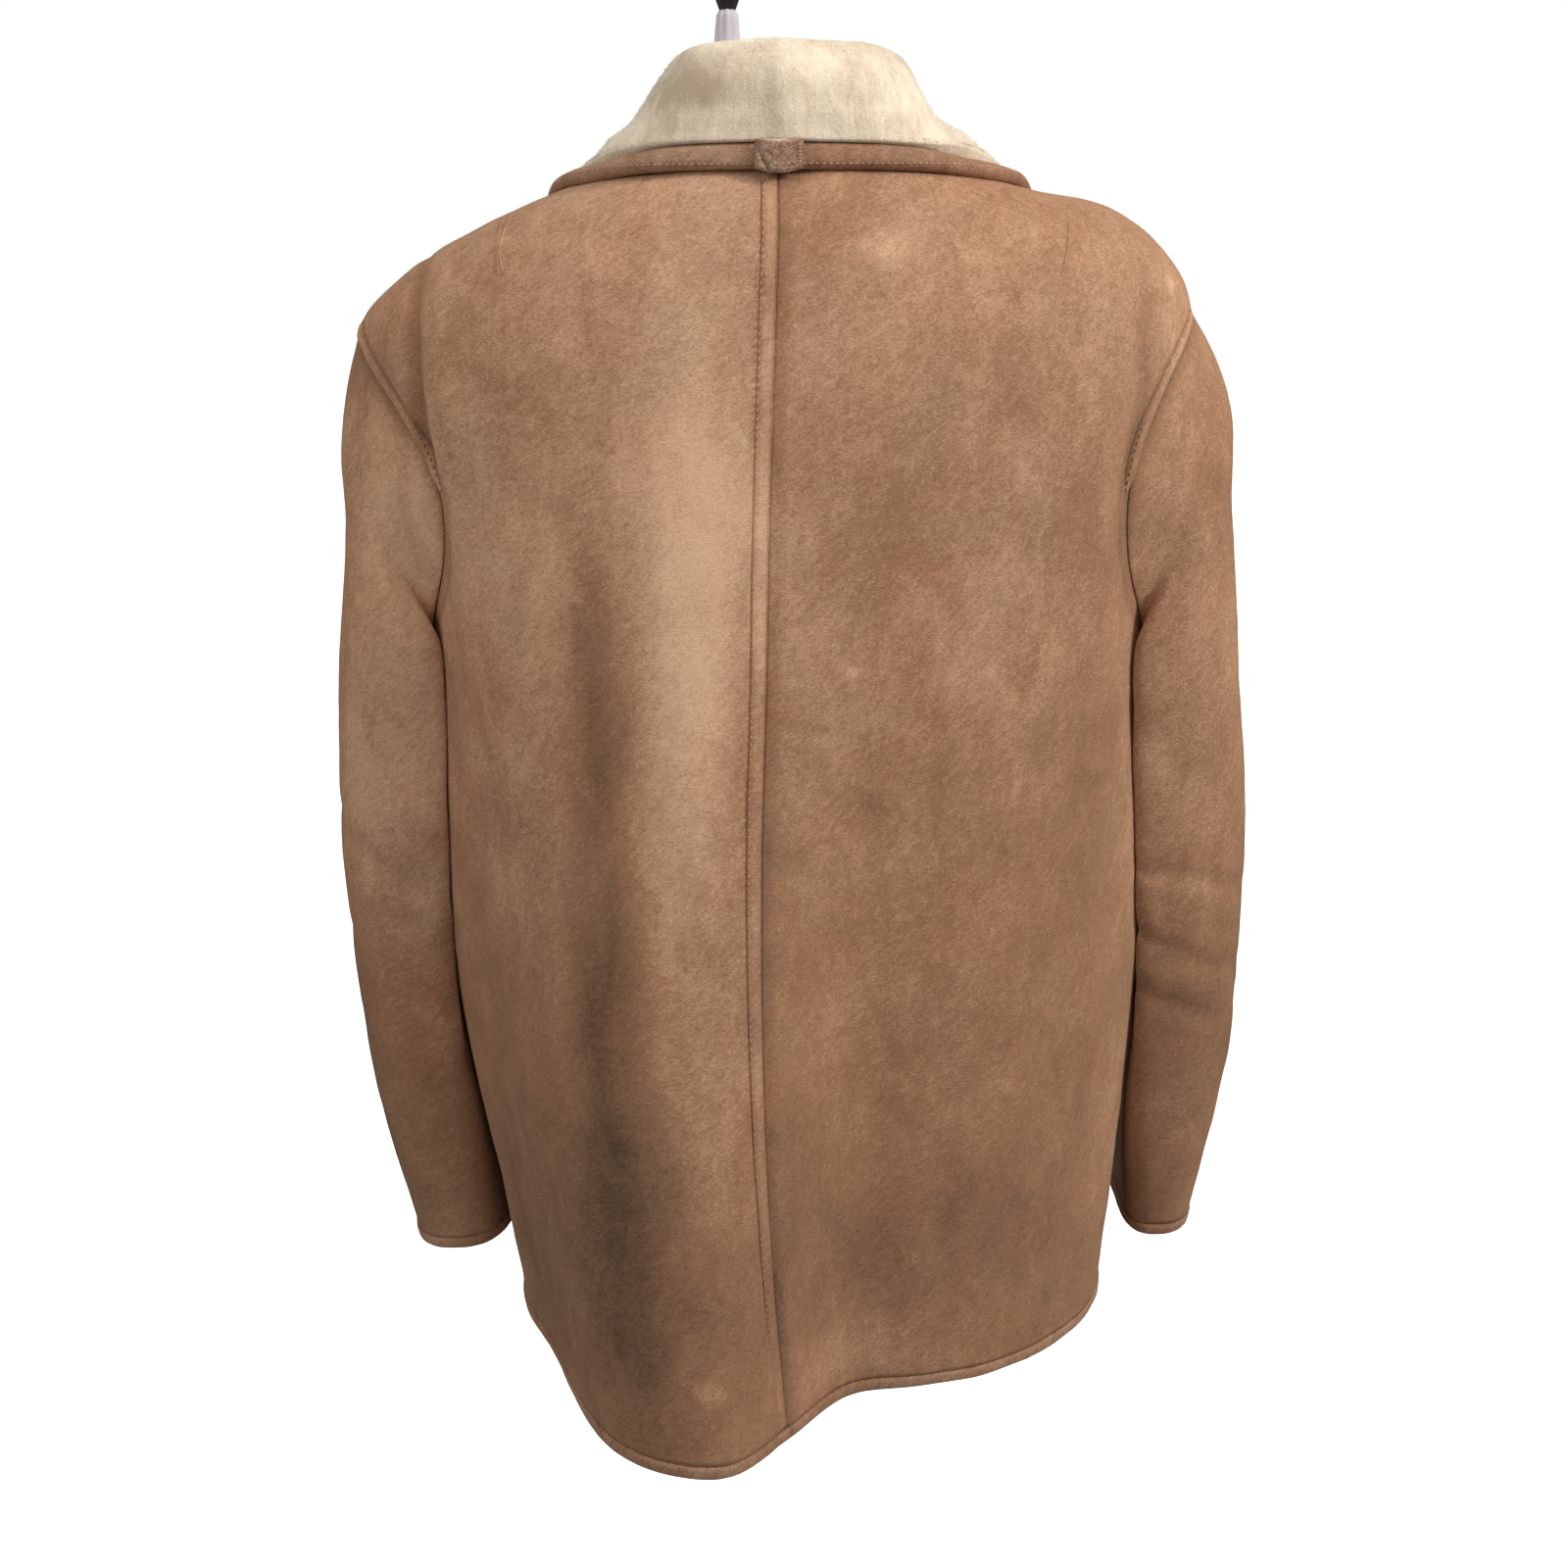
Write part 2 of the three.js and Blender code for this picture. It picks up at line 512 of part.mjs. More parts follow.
for (const side of ["left", "right"]) {
  const end = SLEEVE_END[side] - CUFF_START;
  const evenly = steps(11).slice(1).map((t) => SLEEVE_HEAD + (end - SLEEVE_HEAD) * t);
  const alongs = [0, 0.45 * SLEEVE_HEAD, SLEEVE_HEAD, ...evenly];
  const pieces = {
    upper: span(UNDER_SLEEVE.to - 360, UNDER_SLEEVE.from),
    under: span(UNDER_SLEEVE.from, UNDER_SLEEVE.to),
  };
  for (const [piece, phases] of Object.entries(pieces)) {
    const { outer, inner } = sleeveGrids(side, inset(phases), alongs);
    grids[`sleeve_${piece}_${side}`] = { outer, inner };
    add(`sleeve_${piece}_${side}`, wall(outer, inner), suede);
  }
  const cuff = span(0, 360 - PHASE_STEP);
  const { outer, inner } = sleeveGrids(side, cuff, [end + SEAM_GAP, SLEEVE_END[side]], PROUD);
  add(`cuff_binding_${side}`, wall(outer, inner, true), binding);
}

// The end phases drawn in by half a seam's gap.
function inset(phases) {
  const last = phases.length - 1;
  return phases.map((phase, i) => {
    if (i === 0) return phase + HALF_GAP_PHASE;
    return i === last ? phase - HALF_GAP_PHASE : phase;
  });
}

// A thin strip that lies on a panel beside one of its edges: made from the panel's own rows, moved out.
const STRIP_LIFT = 1; // clears the facets of the panel
function stripOn(grid, edge, rows, { from, to, thick }) {
  const last = grid.outer[0].length - 1;
  const [first, second] = edge === "to" ? [last, last - 1] : [0, 1];
  const layer = (out) => rows.map((i) => [from, to].map((reach) => {
    const a = grid.outer[i][first];
    const b = grid.outer[i][second];
    const away = a.clone().sub(grid.inner[i][first === 0 ? 1 : last - 1]);
    const across = b.clone().sub(a);
    const nextRow = grid.outer[Math.min(i + 1, grid.outer.length - 1)][second];
    const rowBefore = grid.outer[Math.max(i - 1, 0)][second];
    const normal = across.clone().cross(nextRow.clone().sub(rowBefore)).normalize();
    if (normal.dot(away) < 0) normal.negate();
    return a.clone().addScaledVector(across.normalize(), reach).addScaledVector(normal, out);
  }));
  return wall(layer(STRIP_LIFT + thick), layer(STRIP_LIFT));
}
const range = (from, to) => Array.from({ length: to - from + 1 }, (_, i) => from + i);
const HOLE_ROWS = range(ROWS_BELOW + 5, ROWS_BELOW + PHASE_STEPS - 1);
const SEAM_ROWS = range(0, ROWS_BELOW + PHASE_STEPS + ROWS_OVER - 1);
const BACK_SEAM = { from: 0.4, to: 8, thick: 1 };
const ARMHOLE_LAP = { from: 0.6, to: 6, thick: 1 };
add("back_seam", stripOn(grids.back_left, "from", SEAM_ROWS, BACK_SEAM), suede);
add("armhole_seam_left", stripOn(grids.back_left, "to", HOLE_ROWS, ARMHOLE_LAP), suede);
add("armhole_seam_right", stripOn(grids.back_right, "from", HOLE_ROWS, ARMHOLE_LAP), suede);

// The shawl collar. Its suede side is a curve across at each station, from the neck seam over the
// roll to the outer edge; its wool stands out from that.
const COLLAR_KEYS = COLLAR_STATIONS.map((_, i) => i);
const LAST_STATION = COLLAR_STATIONS.length - 1;
const ACROSS_KEYS = [0, 0.22, 0.34, 0.42, 0.5, 0.75, 1];
const BAND_FROM = 0.75; // the binding lies beyond this key
const NECK_STATIONS = 5; // the first ones have their seam on the neck's ring
const LIES_DOWN = { from: 3, to: 6 }; // stations between which the collar turns from standing to lying
// Places on the stand and the roll: share of the roll's lean, and of its height.
const STAND_MIDDLE = { lean: 0.8, high: 0.55 };
const ROLL_INSIDE = { lean: 1, high: 0.85 };
const ROLL_OUTSIDE = 0.84;

const surfaceAt = (turn) => (turn < -NECK_OPEN_TURN ? rightFrontPoint : bodyPoint);
function collarSeam(row, mirror) {
  const onNeck = COLLAR_STATIONS.indexOf(row) < NECK_STATIONS;
  const turn = mirror * (onNeck ? row.seamTurn : frontEdgeTurn(row.seamAt));
  const surface = surfaceAt(turn);
  return { p: surface(turn, row.seamAt), n: bodyNormal(surface, turn, row.seamAt) };
}

// The seven points across the collar at a station, on the wearer's left (mirror 1) or right (-1).
function collarAcross(k, mirror) {
  const row = COLLAR_STATIONS[k];
  const seam = collarSeam(row, mirror);
  const before = collarSeam(COLLAR_STATIONS[Math.max(k - 1, 0)], mirror).p;
  const after = collarSeam(COLLAR_STATIONS[Math.min(k + 1, LAST_STATION)], mirror).p;
  const way = k === 0 ? vec(mirror, 0, 0) : after.clone().sub(before).normalize();
  const lie = ease((k - LIES_DOWN.from) / (LIES_DOWN.to - LIES_DOWN.from));
  const up = vec(0, 0, 1).lerp(seam.n, lie);
  up.addScaledVector(way, -up.dot(way)).normalize();
  const out = way.clone().cross(up).multiplyScalar(-mirror).normalize();
  const edgeTurn = row.edgeTurn * mirror;
  const surface = surfaceAt(edgeTurn);
  const edge = surface(edgeTurn, row.edgeAt);
  edge.addScaledVector(bodyNormal(surface, edgeTurn, row.edgeAt), COLLAR_LIFT);
  const high = row.rollUp - COLLAR_SKIN;
  const at = (o, h) => seam.p.clone().addScaledVector(out, o).addScaledVector(up, h);
  const over = at(row.fallOut - row.rollIn, ROLL_OUTSIDE * high);
  const half = over.clone().lerp(edge, 0.5);
  half.addScaledVector(out.clone().add(up).normalize(), row.bulge);
  return [
    at(0, COLLAR_SEAM_GAP),
    at(-STAND_MIDDLE.lean * row.rollIn, STAND_MIDDLE.high * high),
    at(-ROLL_INSIDE.lean * row.rollIn, ROLL_INSIDE.high * high),
    at(row.fallOut / 2 - row.rollIn, high),
    over,
    half,
    edge,
  ];
}
const COLLAR_POINTS = {
  left: COLLAR_KEYS.map((k) => collarAcross(k, 1)),
  right: COLLAR_KEYS.map((k) => collarAcross(k, -1)),
};
function collarPoint(side, station, across) {
  const rows = COLLAR_POINTS[side];
  const curve = ACROSS_KEYS.map((_, j) => throughPoints(COLLAR_KEYS, rows.map((r) => r[j]), station));
  return throughPoints(ACROSS_KEYS, curve, across);
}
function collarNormal(side, station, across) {
  const s = Math.min(Math.max(station, 0.01), LAST_STATION - 0.01);
  const a = Math.min(Math.max(across, 0.01), 0.99);
  const n = normalOf((u, v) => collarPoint(side, u, v), s, a, 0.01, 0.01);
  return n.multiplyScalar(side === "left" ? 1 : -1);
}
// How far across the binding starts, so that it is COLLAR_BINDING wide at every station.
function bindingStart(side, station) {
  const width = collarPoint(side, station, 1).distanceTo(collarPoint(side, station, BAND_FROM));
  return 1 - ((1 - BAND_FROM) * COLLAR_BINDING) / width;
}
function collarGrid(side, stations, acrossFrom, acrossTo, columns, out) {
  return stations.map((station) => steps(columns).map((t) => {
    const across = THREE.MathUtils.lerp(acrossFrom(station), acrossTo(station), t);
    const point = collarPoint(side, station, across);
    point.addScaledVector(collarNormal(side, station, across), out * collarThin(station));
    if (station === SEAM_STATION) point.x = side === "left" ? SEAM_GAP / 2 : -SEAM_GAP / 2;
    return point;
  }));
}
// The collar runs out to a thinner end at the break of the lapels.
const THIN_END = { from: 7.5, less: 0.35 };
function collarThin(station) {
  return 1 - THIN_END.less * ease((station - THIN_END.from) / (LAST_STATION - THIN_END.from));
}
const SEAM_STATION = 0.006; // half of the centre seam's gap
const WOOL_STOPS = 0.006; // before the binding, as a share of the way across
for (const side of ["left", "right"]) {
  const stations = steps(22).map((t) => SEAM_STATION + (LAST_STATION - SEAM_STATION) * t);
  const woolEnd = (station) => bindingStart(side, station) - WOOL_STOPS;
  const outer = collarGrid(side, stations, () => 0, woolEnd, 11, COLLAR_SKIN);
  const inner = collarGrid(side, stations, () => 0, woolEnd, 11, 0);
  add(`collar_${side}`, wall(outer, inner), wool);
  const start = (station) => bindingStart(side, station);
  const bandOuter = collarGrid(side, stations, start, () => 1, 2, COLLAR_BAND.out);
  const bandInner = collarGrid(side, stations, start, () => 1, 2, -COLLAR_BAND.in);
  add(`collar_binding_${side}`, wall(bandOuter, bandInner), binding);
}

// The loop is a strap sewn down at its two ends across the binding, and stands off it between them.
function hangingLoop() {
  const edge = collarPoint("left", 0, 1);
  const up = collarPoint("left", 0, bindingStart("left", 0)).sub(edge).normalize();
  const out = collarNormal("left", 0, 0.95);
  const layer = (extra) => steps(3).map((h) => steps(8).map((t) => {
    const x = (t - 0.5) * LOOP.wide;
    const arch = 1 - (2 * t - 1) ** 2;
    const fallAway = LOOP.fallAway * (x + LOOP.x) ** 2;
    const stand = COLLAR_BAND.out + LOOP.stands * arch * (1 - 0.5 * h) - fallAway + extra;
    const sag = THREE.MathUtils.lerp(-LOOP.below * (0.4 + 0.6 * arch), LOOP.top, h);
    return edge.clone().add(vec(LOOP.x + x, 0, 0)).addScaledVector(up, sag).addScaledVector(out, stand);
  }));
  return wall(layer(LOOP.thick), layer(0));
}
add("hanging_loop", hangingLoop(), binding);

// Buttons lie on the left front, over the middle.
function buttonAt(at) {
  const turn = turnAtX(BUTTONS.x, at, true);
  const normal = bodyNormal(bodyPoint, turn, at);
  const disc = new THREE.CylinderGeometry(BUTTONS.radius, BUTTONS.radius - 1, BUTTONS.thick, 20);
  disc.applyQuaternion(new THREE.Quaternion().setFromUnitVectors(vec(0, 1, 0), normal));
  const centre = bodyPoint(turn, at).addScaledVector(normal, BUTTONS.thick / 2 + BUTTONS.clear);
  disc.translate(centre.x, centre.y, centre.z);
  return disc;
}
BUTTONS.at.forEach((at, i) => add(`button_${i + 1}`, buttonAt(at), horn));

// The hanger's bar follows the inside of the shoulders, and arches under the open neck.
const ROWS_ABOVE = panelRows(HEM_TOP).slice(-ROWS_OVER - 1);
function underShoulder(turn, at) {
  const normal = bodyNormal(bodyPoint, turn, at);
  return bodyPoint(turn, at).addScaledVector(normal, -SKIN - HANGER.clear);
}
function barSection(top, high, deep) {
  return Array.from({ length: 12 }, (_, j) => {
    const angle = (j / 12) * 2 * Math.PI;
    return vec(top.x, top.y + deep * Math.sin(angle), top.z - high + high * Math.cos(angle));
  });
}
function hangerBar() {
  const arm = (turn, rows) => rows.map((at) => underShoulder(turn, at));
  const left = arm(90, ROWS_ABOVE.slice(2, 6));
  const right = arm(-90, ROWS_ABOVE.slice(4, 6)).reverse();
  const neck = ARCH.across.map((x) => {
    return vec(x, HOOK.y, ARCH.crown - ARCH.fall * ((x - ARCH.middle) / ARCH.half) ** 4);
  });
  const tops = [...left, ...neck, ...right];
  const tip = (p, way) => p.clone().add(vec(HANGER.tipOut * way, 0, -HANGER.tipDown));
  tops.unshift(tip(left[0], 1));
  tops.push(tip(right.at(-1), -1));
  return bar(tops.map((top, i) => {
    const fromTip = Math.min(i, tops.length - 1 - i);
    const full = HANGER_FULLNESS[Math.min(fromTip, HANGER_FULLNESS.length - 1)];
    const size = (small, large) => small + (large - small) * full;
    return barSection(top, size(HANGER.tipHigh, HANGER.high), size(HANGER.tipDeep, HANGER.deep));
  }));
}
add("hanger_bar", hangerBar(), cloth);

// The covered neck stands on the bar, and the black hook on the neck.
const NECK_FOOT = ARCH.crown + SEAM_GAP;
const NECK_TOP = HOOK.foot - SEAM_GAP;
const neckProfile = [
  [0, NECK_FOOT],
  [HANGER_NECK.foot, NECK_FOOT],
  [HANGER_NECK.waist, HANGER_NECK.waistFrom],
  [HANGER_NECK.waist, HANGER_NECK.waistTo],
  [HANGER_NECK.top, NECK_TOP - HANGER_NECK.bevel],
  [HANGER_NECK.top - HANGER_NECK.bevel / 2, NECK_TOP],
  [0, NECK_TOP],
].map(([r, z]) => new THREE.Vector2(r, z));
const neckShape = new THREE.LatheGeometry(neckProfile, 16);
neckShape.rotateX(Math.PI / 2);
neckShape.translate(HOOK.x, HOOK.y, 0);
add("hanger_neck", neckShape, cloth);

// The hook's stem: how high above its foot each ring lies, how far to the side, and its radius.
const FERRULE = HOOK.ferrule / 2;
const WIRE = HOOK.wire / 2;
const HOOK_STEM = table(
  ["up", "side", "radius"],
  [
    [0, 0, FERRULE - 2],
    [5, 0, FERRULE],
    [11, 0, FERRULE - 2],
    [14, 0, WIRE],
    [22, 0.5, WIRE],
    [35, 5, WIRE],
  ],
);
const HOOK_SIDES = 10;
const HOOK_ARC = { from: -50, to: 205 }; // degrees round the bend
function hook() {
  const path = HOOK_STEM.map((row) => vec(row.side, 0, HOOK.foot + row.up));
  const radii = HOOK_STEM.map((row) => row.radius);
  for (const t of steps(16)) {
    const angle = rad(THREE.MathUtils.lerp(HOOK_ARC.from, HOOK_ARC.to, t));
    path.push(vec(HOOK.bend * Math.cos(angle), 0, HOOK.rise + HOOK.bend * Math.sin(angle)));
    radii.push(WIRE);
  }
  return bar(path.map((p, i) => {
    const way = path[Math.min(i + 1, path.length - 1)].clone().sub(path[Math.max(i - 1, 0)]).normalize();
    const side = vec(0, 1, 0);
    const up = side.clone().cross(way);
    return Array.from({ length: HOOK_SIDES }, (_, j) => {
      const a = (j / HOOK_SIDES) * 2 * Math.PI;
      const round = side.clone().multiplyScalar(Math.cos(a)).addScaledVector(up, Math.sin(a));
      return vec(HOOK.x, HOOK.y, 0).add(p).addScaledVector(round, radii[i]);
    });
  }));
}
add("hanger_hook", hook(), black);
export default coat;
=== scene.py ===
import math

import bpy
import numpy as np
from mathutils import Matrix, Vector, noise


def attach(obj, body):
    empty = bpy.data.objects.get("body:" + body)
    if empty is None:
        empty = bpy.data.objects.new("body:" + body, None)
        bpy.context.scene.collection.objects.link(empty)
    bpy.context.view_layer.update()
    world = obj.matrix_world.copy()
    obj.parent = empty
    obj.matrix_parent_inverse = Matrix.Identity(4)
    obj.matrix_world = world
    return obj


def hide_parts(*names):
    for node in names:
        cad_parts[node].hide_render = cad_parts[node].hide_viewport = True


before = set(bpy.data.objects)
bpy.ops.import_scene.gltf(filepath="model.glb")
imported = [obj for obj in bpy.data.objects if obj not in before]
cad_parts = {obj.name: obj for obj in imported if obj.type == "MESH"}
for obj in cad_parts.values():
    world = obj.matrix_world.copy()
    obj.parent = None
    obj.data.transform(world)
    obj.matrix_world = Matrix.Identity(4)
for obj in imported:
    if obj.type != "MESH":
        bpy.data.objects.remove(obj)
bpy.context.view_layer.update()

MIRROR = {"left": 1, "right": -1}
HOOK_X, HOOK_Y, HOOK_INSIDE_TOP = 32, -5, 147.5
ROW_ORIGIN = np.array([HOOK_X, HOOK_Y, HOOK_INSIDE_TOP])  # where the frame's origin lies
SKIN = 5.6  # suede and clipped wool together
COLLAR_SKIN = 8  # the collar's wool is longer
COLLAR_PILE = 6.6
BINDING = 10  # width of the rolled edge at hem and cuffs
COLLAR_BINDING = 13
PROUD = 1.2  # by which a rolled edge stands out on each side
SEAM_GAP = 0.3
SQUARENESS = 2.3  # exponent of the body's oval: 2 is an ellipse
SLEEVE_SQUARENESS = 2.5
HEM_Z = -760
UNDERARM_AT = 460
SHOULDER_TIP_AT = 675
NECK_AT = 876
ARMHOLE_BACK_TURN = 33  # how far round the body the armhole reaches behind the side seam
ARMHOLE_BACK_HIGH = 0.12  # by this share further above its middle, and less below it
ARMHOLE_FRONT_TURN = 33
ARMHOLE_OVAL = 0.5
OVERLAP = 24  # of the left front over the right
BREAK_AT = 425  # where the V starts, up the front
NECK_OPEN_TURN = 112  # where it ends, round the neck
V_EASE = 1.8
UNDERLAP_DEPTH, UNDERLAP_FROM, UNDERLAP_TO = 9.6, -76, -34
SLEEVE_END = {"left": 625, "right": 615}
UNDER_FROM, UNDER_TO = 140, 220  # the narrow under piece, on the side next to the body

# Rings round the body, from the hem up.
RING_COLUMNS = "at left right back mid front z_back z_left z_right z_front seam".split()
BODY_RINGS = [
    (0, 185, 224, 100, -40, -188, -760, -760, -753, -752, -3),
    (90, 196, 229, 103, -40, -190, -670, -670, -670, -664, 4),
    (174, 211, 234, 106, -40, -190, -586, -586, -586, -582, 9),
    (270, 223, 239, 111, -39, -189, -490, -490, -490, -488, 12),
    (390, 225, 233, 114, -37, -186, -370, -370, -370, -370, 12),
    (460, 223, 228, 117, -33, -182, -300, -300, -300, -302, 10),
    (570, 225, 226, 119, -22, -172, -205, -190, -190, -218, 8),
    (675, 247, 237, 112, -10, -150, -112, -90, -81, -146, 5),
    (715, 222, 224, 107, -7, -138, -80, -67, -58, -124, 4),
    (762, 184, 191, 99, -5, -120, -50, -45, -32, -106, 3),
    (822, 130, 136, 84, -4, -96, -20, -22, -19, -88, 3),
    (876, 80, 80, 62, -4, -70, -2, -5, -5, -72, 2),
]
# Folds of the body: turn, half-widths right and left, their squareness, push, depth, from, peak, to.
BODY_FOLDS = [
    (19, 19.8, 24, 4.5, 3.2, 0, 86, 640, -40, -900),
    (30, 7, 9, 2, 2, 28, -9, 610, 330, -260),
    (-33, 12, 12, 2, 2, 0, 5, 560, 200, -300),
    (49, 10, 7, 2, 2, 40, 8, 700, 560, 330),
    (-50, 7, 10, 2, 2, -40, 7, 700, 560, 330),
    (142, 13, 13, 2.6, 2.6, 165, 24, 520, -20, -900),
    (-140, 12, 13, 2.6, 2.6, -165, 19, 480, -20, -900),
]
# Rings along each sleeve: along, inner and outer X, front and back Y, inner and outer Z, tuck.
SLEEVE_RINGS = {
    "left": [
        (40, 228, 262, -112, 44, -303, -128, 18),
        (110, 229, 268, -122, 45, -312, -205, 26),
        (200, 228, 280, -126, 43, -338, -300, 29),
        (300, 229, 289, -130, 36, -414, -402, 27),
        (400, 225, 289, -131, 25, -506, -500, 21),
        (500, 213, 282, -128, 12, -601, -600, 14),
        (625, 194, 263, -118, -7, -716, -724, 2),
    ],
    "right": [
        (40, 232, 262, -112, 44, -303, -118, 18),
        (110, 234, 274, -122, 45, -312, -205, 26),
        (200, 235, 287, -126, 42, -338, -300, 29),
        (300, 242, 301, -131, 34, -414, -402, 30),
        (400, 245, 306, -133, 23, -506, -500, 26),
        (500, 242, 304, -133, 11, -601, -600, 18),
        (615, 242, 290, -132, -8, -712, -708, 4),
    ],
}
SLEEVE_CLEAR = 1.2
OUTER_SIDE = 0.8  # beyond this share of its half-width a sleeve is well away from the body
SIDE_TURNS = (30, 150)
MITRE_MOST = 1.5  # by which the inner corner may reach further in than the skin is thick
# Stations along the collar: seam turn, seam at, edge turn, edge at, roll in, roll up, fall out, bulge.
COLLAR_STATIONS = [
    (0, 876, 0, 831, 5, 56, 17, 2),
    (30, 876, 30, 831, 7, 55, 15, -1),
    (60, 876, 58, 827, 15, 52, 9, -9),
    (88, 876, 85, 821, 18, 48, 6, -10),
    (112, 876, 108, 800, 15, 42, 7, -7),
    (0, 846, 124, 772, 12, 30, 10, -3),
    (0, 780, 138, 720, 9, 23, 11, 2),
    (0, 700, 149, 650, 8, 21, 11, 3),
    (0, 610, 156, 580, 6, 19, 10, 2),
    (0, 535, 162, 528, 3, 15, 9, 1),
]
LAST_STATION = len(COLLAR_STATIONS) - 1
NECK_STATIONS = 5  # the first ones have their seam on the neck's ring
COLLAR_LIFT = 2.9  # clearance under the fall
COLLAR_SEAM_GAP = 1.1
BAND_OUT, BAND_IN = 4.5, 0.6  # how far the binding reaches to each side of the suede
SEAM_OVERLAP = 0.1  # by which the two halves of the wool meet inside the centre seam
BUTTON_AT = (400, 300, 200, 100)

# Soft creases drawn into the surface. Where their middle is: x, z on the back or front, or phase and
# along on a sleeve; length; lean from upright in degrees; half-width; depth, - for a trough.
BACK_CREASES = [
    (203, -126, 130, 4, 4, -4.8), (190, -150, 170, 2, 8, 2.4), (178, -68, 34, 60, 8, -1.3),
    (-198, -126, 120, -3, 6, -2.6), (-184, -150, 150, -4, 9, 1.6), (-178, -90, 40, -50, 9, -1.0),
    (176, -215, 90, -16, 9, -1.4), (150, -260, 130, -24, 13, 1.6), (-150, -290, 120, 22, 13, 1.4),
    (-14, -312, 54, 75, 2.6, -0.8), (-40, -345, 70, 66, 9, 0.9), (60, -420, 150, 12, 13, -1.6),
    (-62, -470, 210, -5, 16, -1.3), (-120, -560, 240, 4, 20, 1.6), (-170, -520, 190, -8, 12, -1.7),
    (-30, -600, 260, -3, 14, -1.2), (150, -470, 200, 10, 12, -1.4), (166, -600, 170, 14, 12, 1.5),
    (96, -640, 170, 3, 11, -1.5), (40, -690, 110, -6, 9, 1.2), (-88, -700, 120, 6, 12, 1.3),
    (20, -70, 70, 82, 8, -1.0), (-70, -62, 80, -70, 9, -0.9), (90, -70, 80, 68, 9, 0.9),
]
FRONT_CREASES = [
    (120, -330, 120, -32, 12, -1.7), (-120, -340, 120, 30, 12, -1.6), (96, -520, 260, 6, 15, 1.6),
    (-92, -540, 240, -7, 15, 1.5), (60, -640, 200, 4, 12, -1.4), (-58, -630, 190, -3, 12, -1.3),
    (150, -250, 90, -20, 9, -1.6), (-150, -245, 90, 20, 9, -1.5), (20, -430, 130, 78, 9, 0.9),
]
SLEEVE_CREASES = {
    "left": [
        (70, 90, 120, 6, 8, -1.6), (40, 150, 150, -10, 11, 0.9), (95, 210, 130, 24, 10, -0.8),
        (60, 310, 110, 62, 9, -2.0), (84, 345, 90, 74, 8, 1.5), (50, 400, 120, 40, 10, -1.7),
        (110, 455, 110, 66, 8, -2.1), (30, 500, 150, 12, 11, 1.5), (75, 560, 80, 20, 8, -1.3),
        (-40, 240, 150, 30, 11, -1.8), (-80, 350, 120, 70, 10, -2.0), (-60, 460, 130, 20, 11, 1.6),
    ],
    "right": [
        (66, 80, 110, -8, 8, -1.6), (38, 170, 160, 9, 11, 1.0), (96, 230, 130, -26, 10, -0.9),
        (72, 330, 100, -70, 8, -2.0), (98, 372, 90, -62, 7, -2.3), (64, 396, 80, -78, 7, -1.9),
        (88, 420, 80, -60, 7, -1.6), (40, 440, 130, -30, 11, 1.5), (70, 520, 120, 14, 9, 1.4),
        (-42, 250, 150, -28, 11, -1.7), (-84, 360, 120, -66, 10, -2.0), (-58, 470, 130, -18, 11, 1.5),
    ],
}

# Places where the back is paler (+) or darker (-): spots of the nap, and painted highlights and painted
# shade on its folds and creases: x, z, half-sizes, amount.
BACK_SPOTS_AND_PAINTED_LIGHT = [
    (-54, -55, 13, 11, 0.5), (-39, -278, 3, 3, 0.7), (45, -700, 8, 6, 0.5), (-217, -73, 4, 4, 0.4),
    (44, -190, 34, 80, 0.75), (50, -300, 30, 90, 0.55), (54, -420, 26, 100, 0.35),
    (30, -590, 24, 90, 0.2), (103, -285, 15, 70, -0.35), (107, -380, 15, 110, -0.2),
    (104, -520, 17, 100, -0.4), (90, -650, 26, 70, -0.5), (112, -478, 9, 30, -0.3),
    (-88, -655, 40, 50, 0.16), (20, -610, 30, 70, -0.16), (172, -560, 50, 130, -0.35),
    (168, -300, 40, 130, -0.1), (150, -700, 50, 50, -0.3), (-104, -50, 60, 26, 0.08),
    (120, -60, 50, 40, 0.08), (108, -120, 40, 30, -0.08), (-30, -110, 34, 26, 0.15),
    (-110, -300, 50, 70, 0.1), (-150, -470, 36, 60, 0.1), (-64, -650, 60, 60, -0.02),
    (-40, -560, 20, 60, 0.1), (-190, -330, 22, 120, -0.15), (-30, -420, 26, 60, -0.1),
    (-146, -600, 60, 70, -0.12), (107, -180, 32, 55, 0.16), (-115, -405, 50, 80, -0.2),
    (-175, -380, 40, 260, -0.2), (-35, -290, 45, 60, 0.15), (30, -455, 60, 60, -0.22),
    (60, -580, 70, 50, -0.15), (-45, -725, 60, 30, 0.45), (146, -290, 35, 110, 0.4),
    (185, -180, 25, 60, 0.2), (70, -95, 70, 35, 0.14), (204, -122, 4, 60, -0.6),
    (-199, -122, 7, 55, -0.3), (88, -455, 16, 60, -0.25), (100, -590, 30, 60, -0.25),
]

# Places where the collar's wool is paler (+) or darker (-), with painted shade at its upper left: x, z,
# half-sizes, amount.
COLLAR_SPOTS_AND_SHADE = [
    (50, 27, 26, 12, -0.45), (66, 12, 20, 26, -0.2), (70, 6, 30, 14, 0.15),
    (-30, 30, 40, 26, 0.1), (-70, 10, 30, 26, 0.1),
]

# Places where the collar's wool stands fuller (+) or flatter (-).
COLLAR_SWELLS = [(-100, 2, 18, 15, 7), (95, 0, 15, 13, 4.5), (64, 42, 16, 14, -4)]


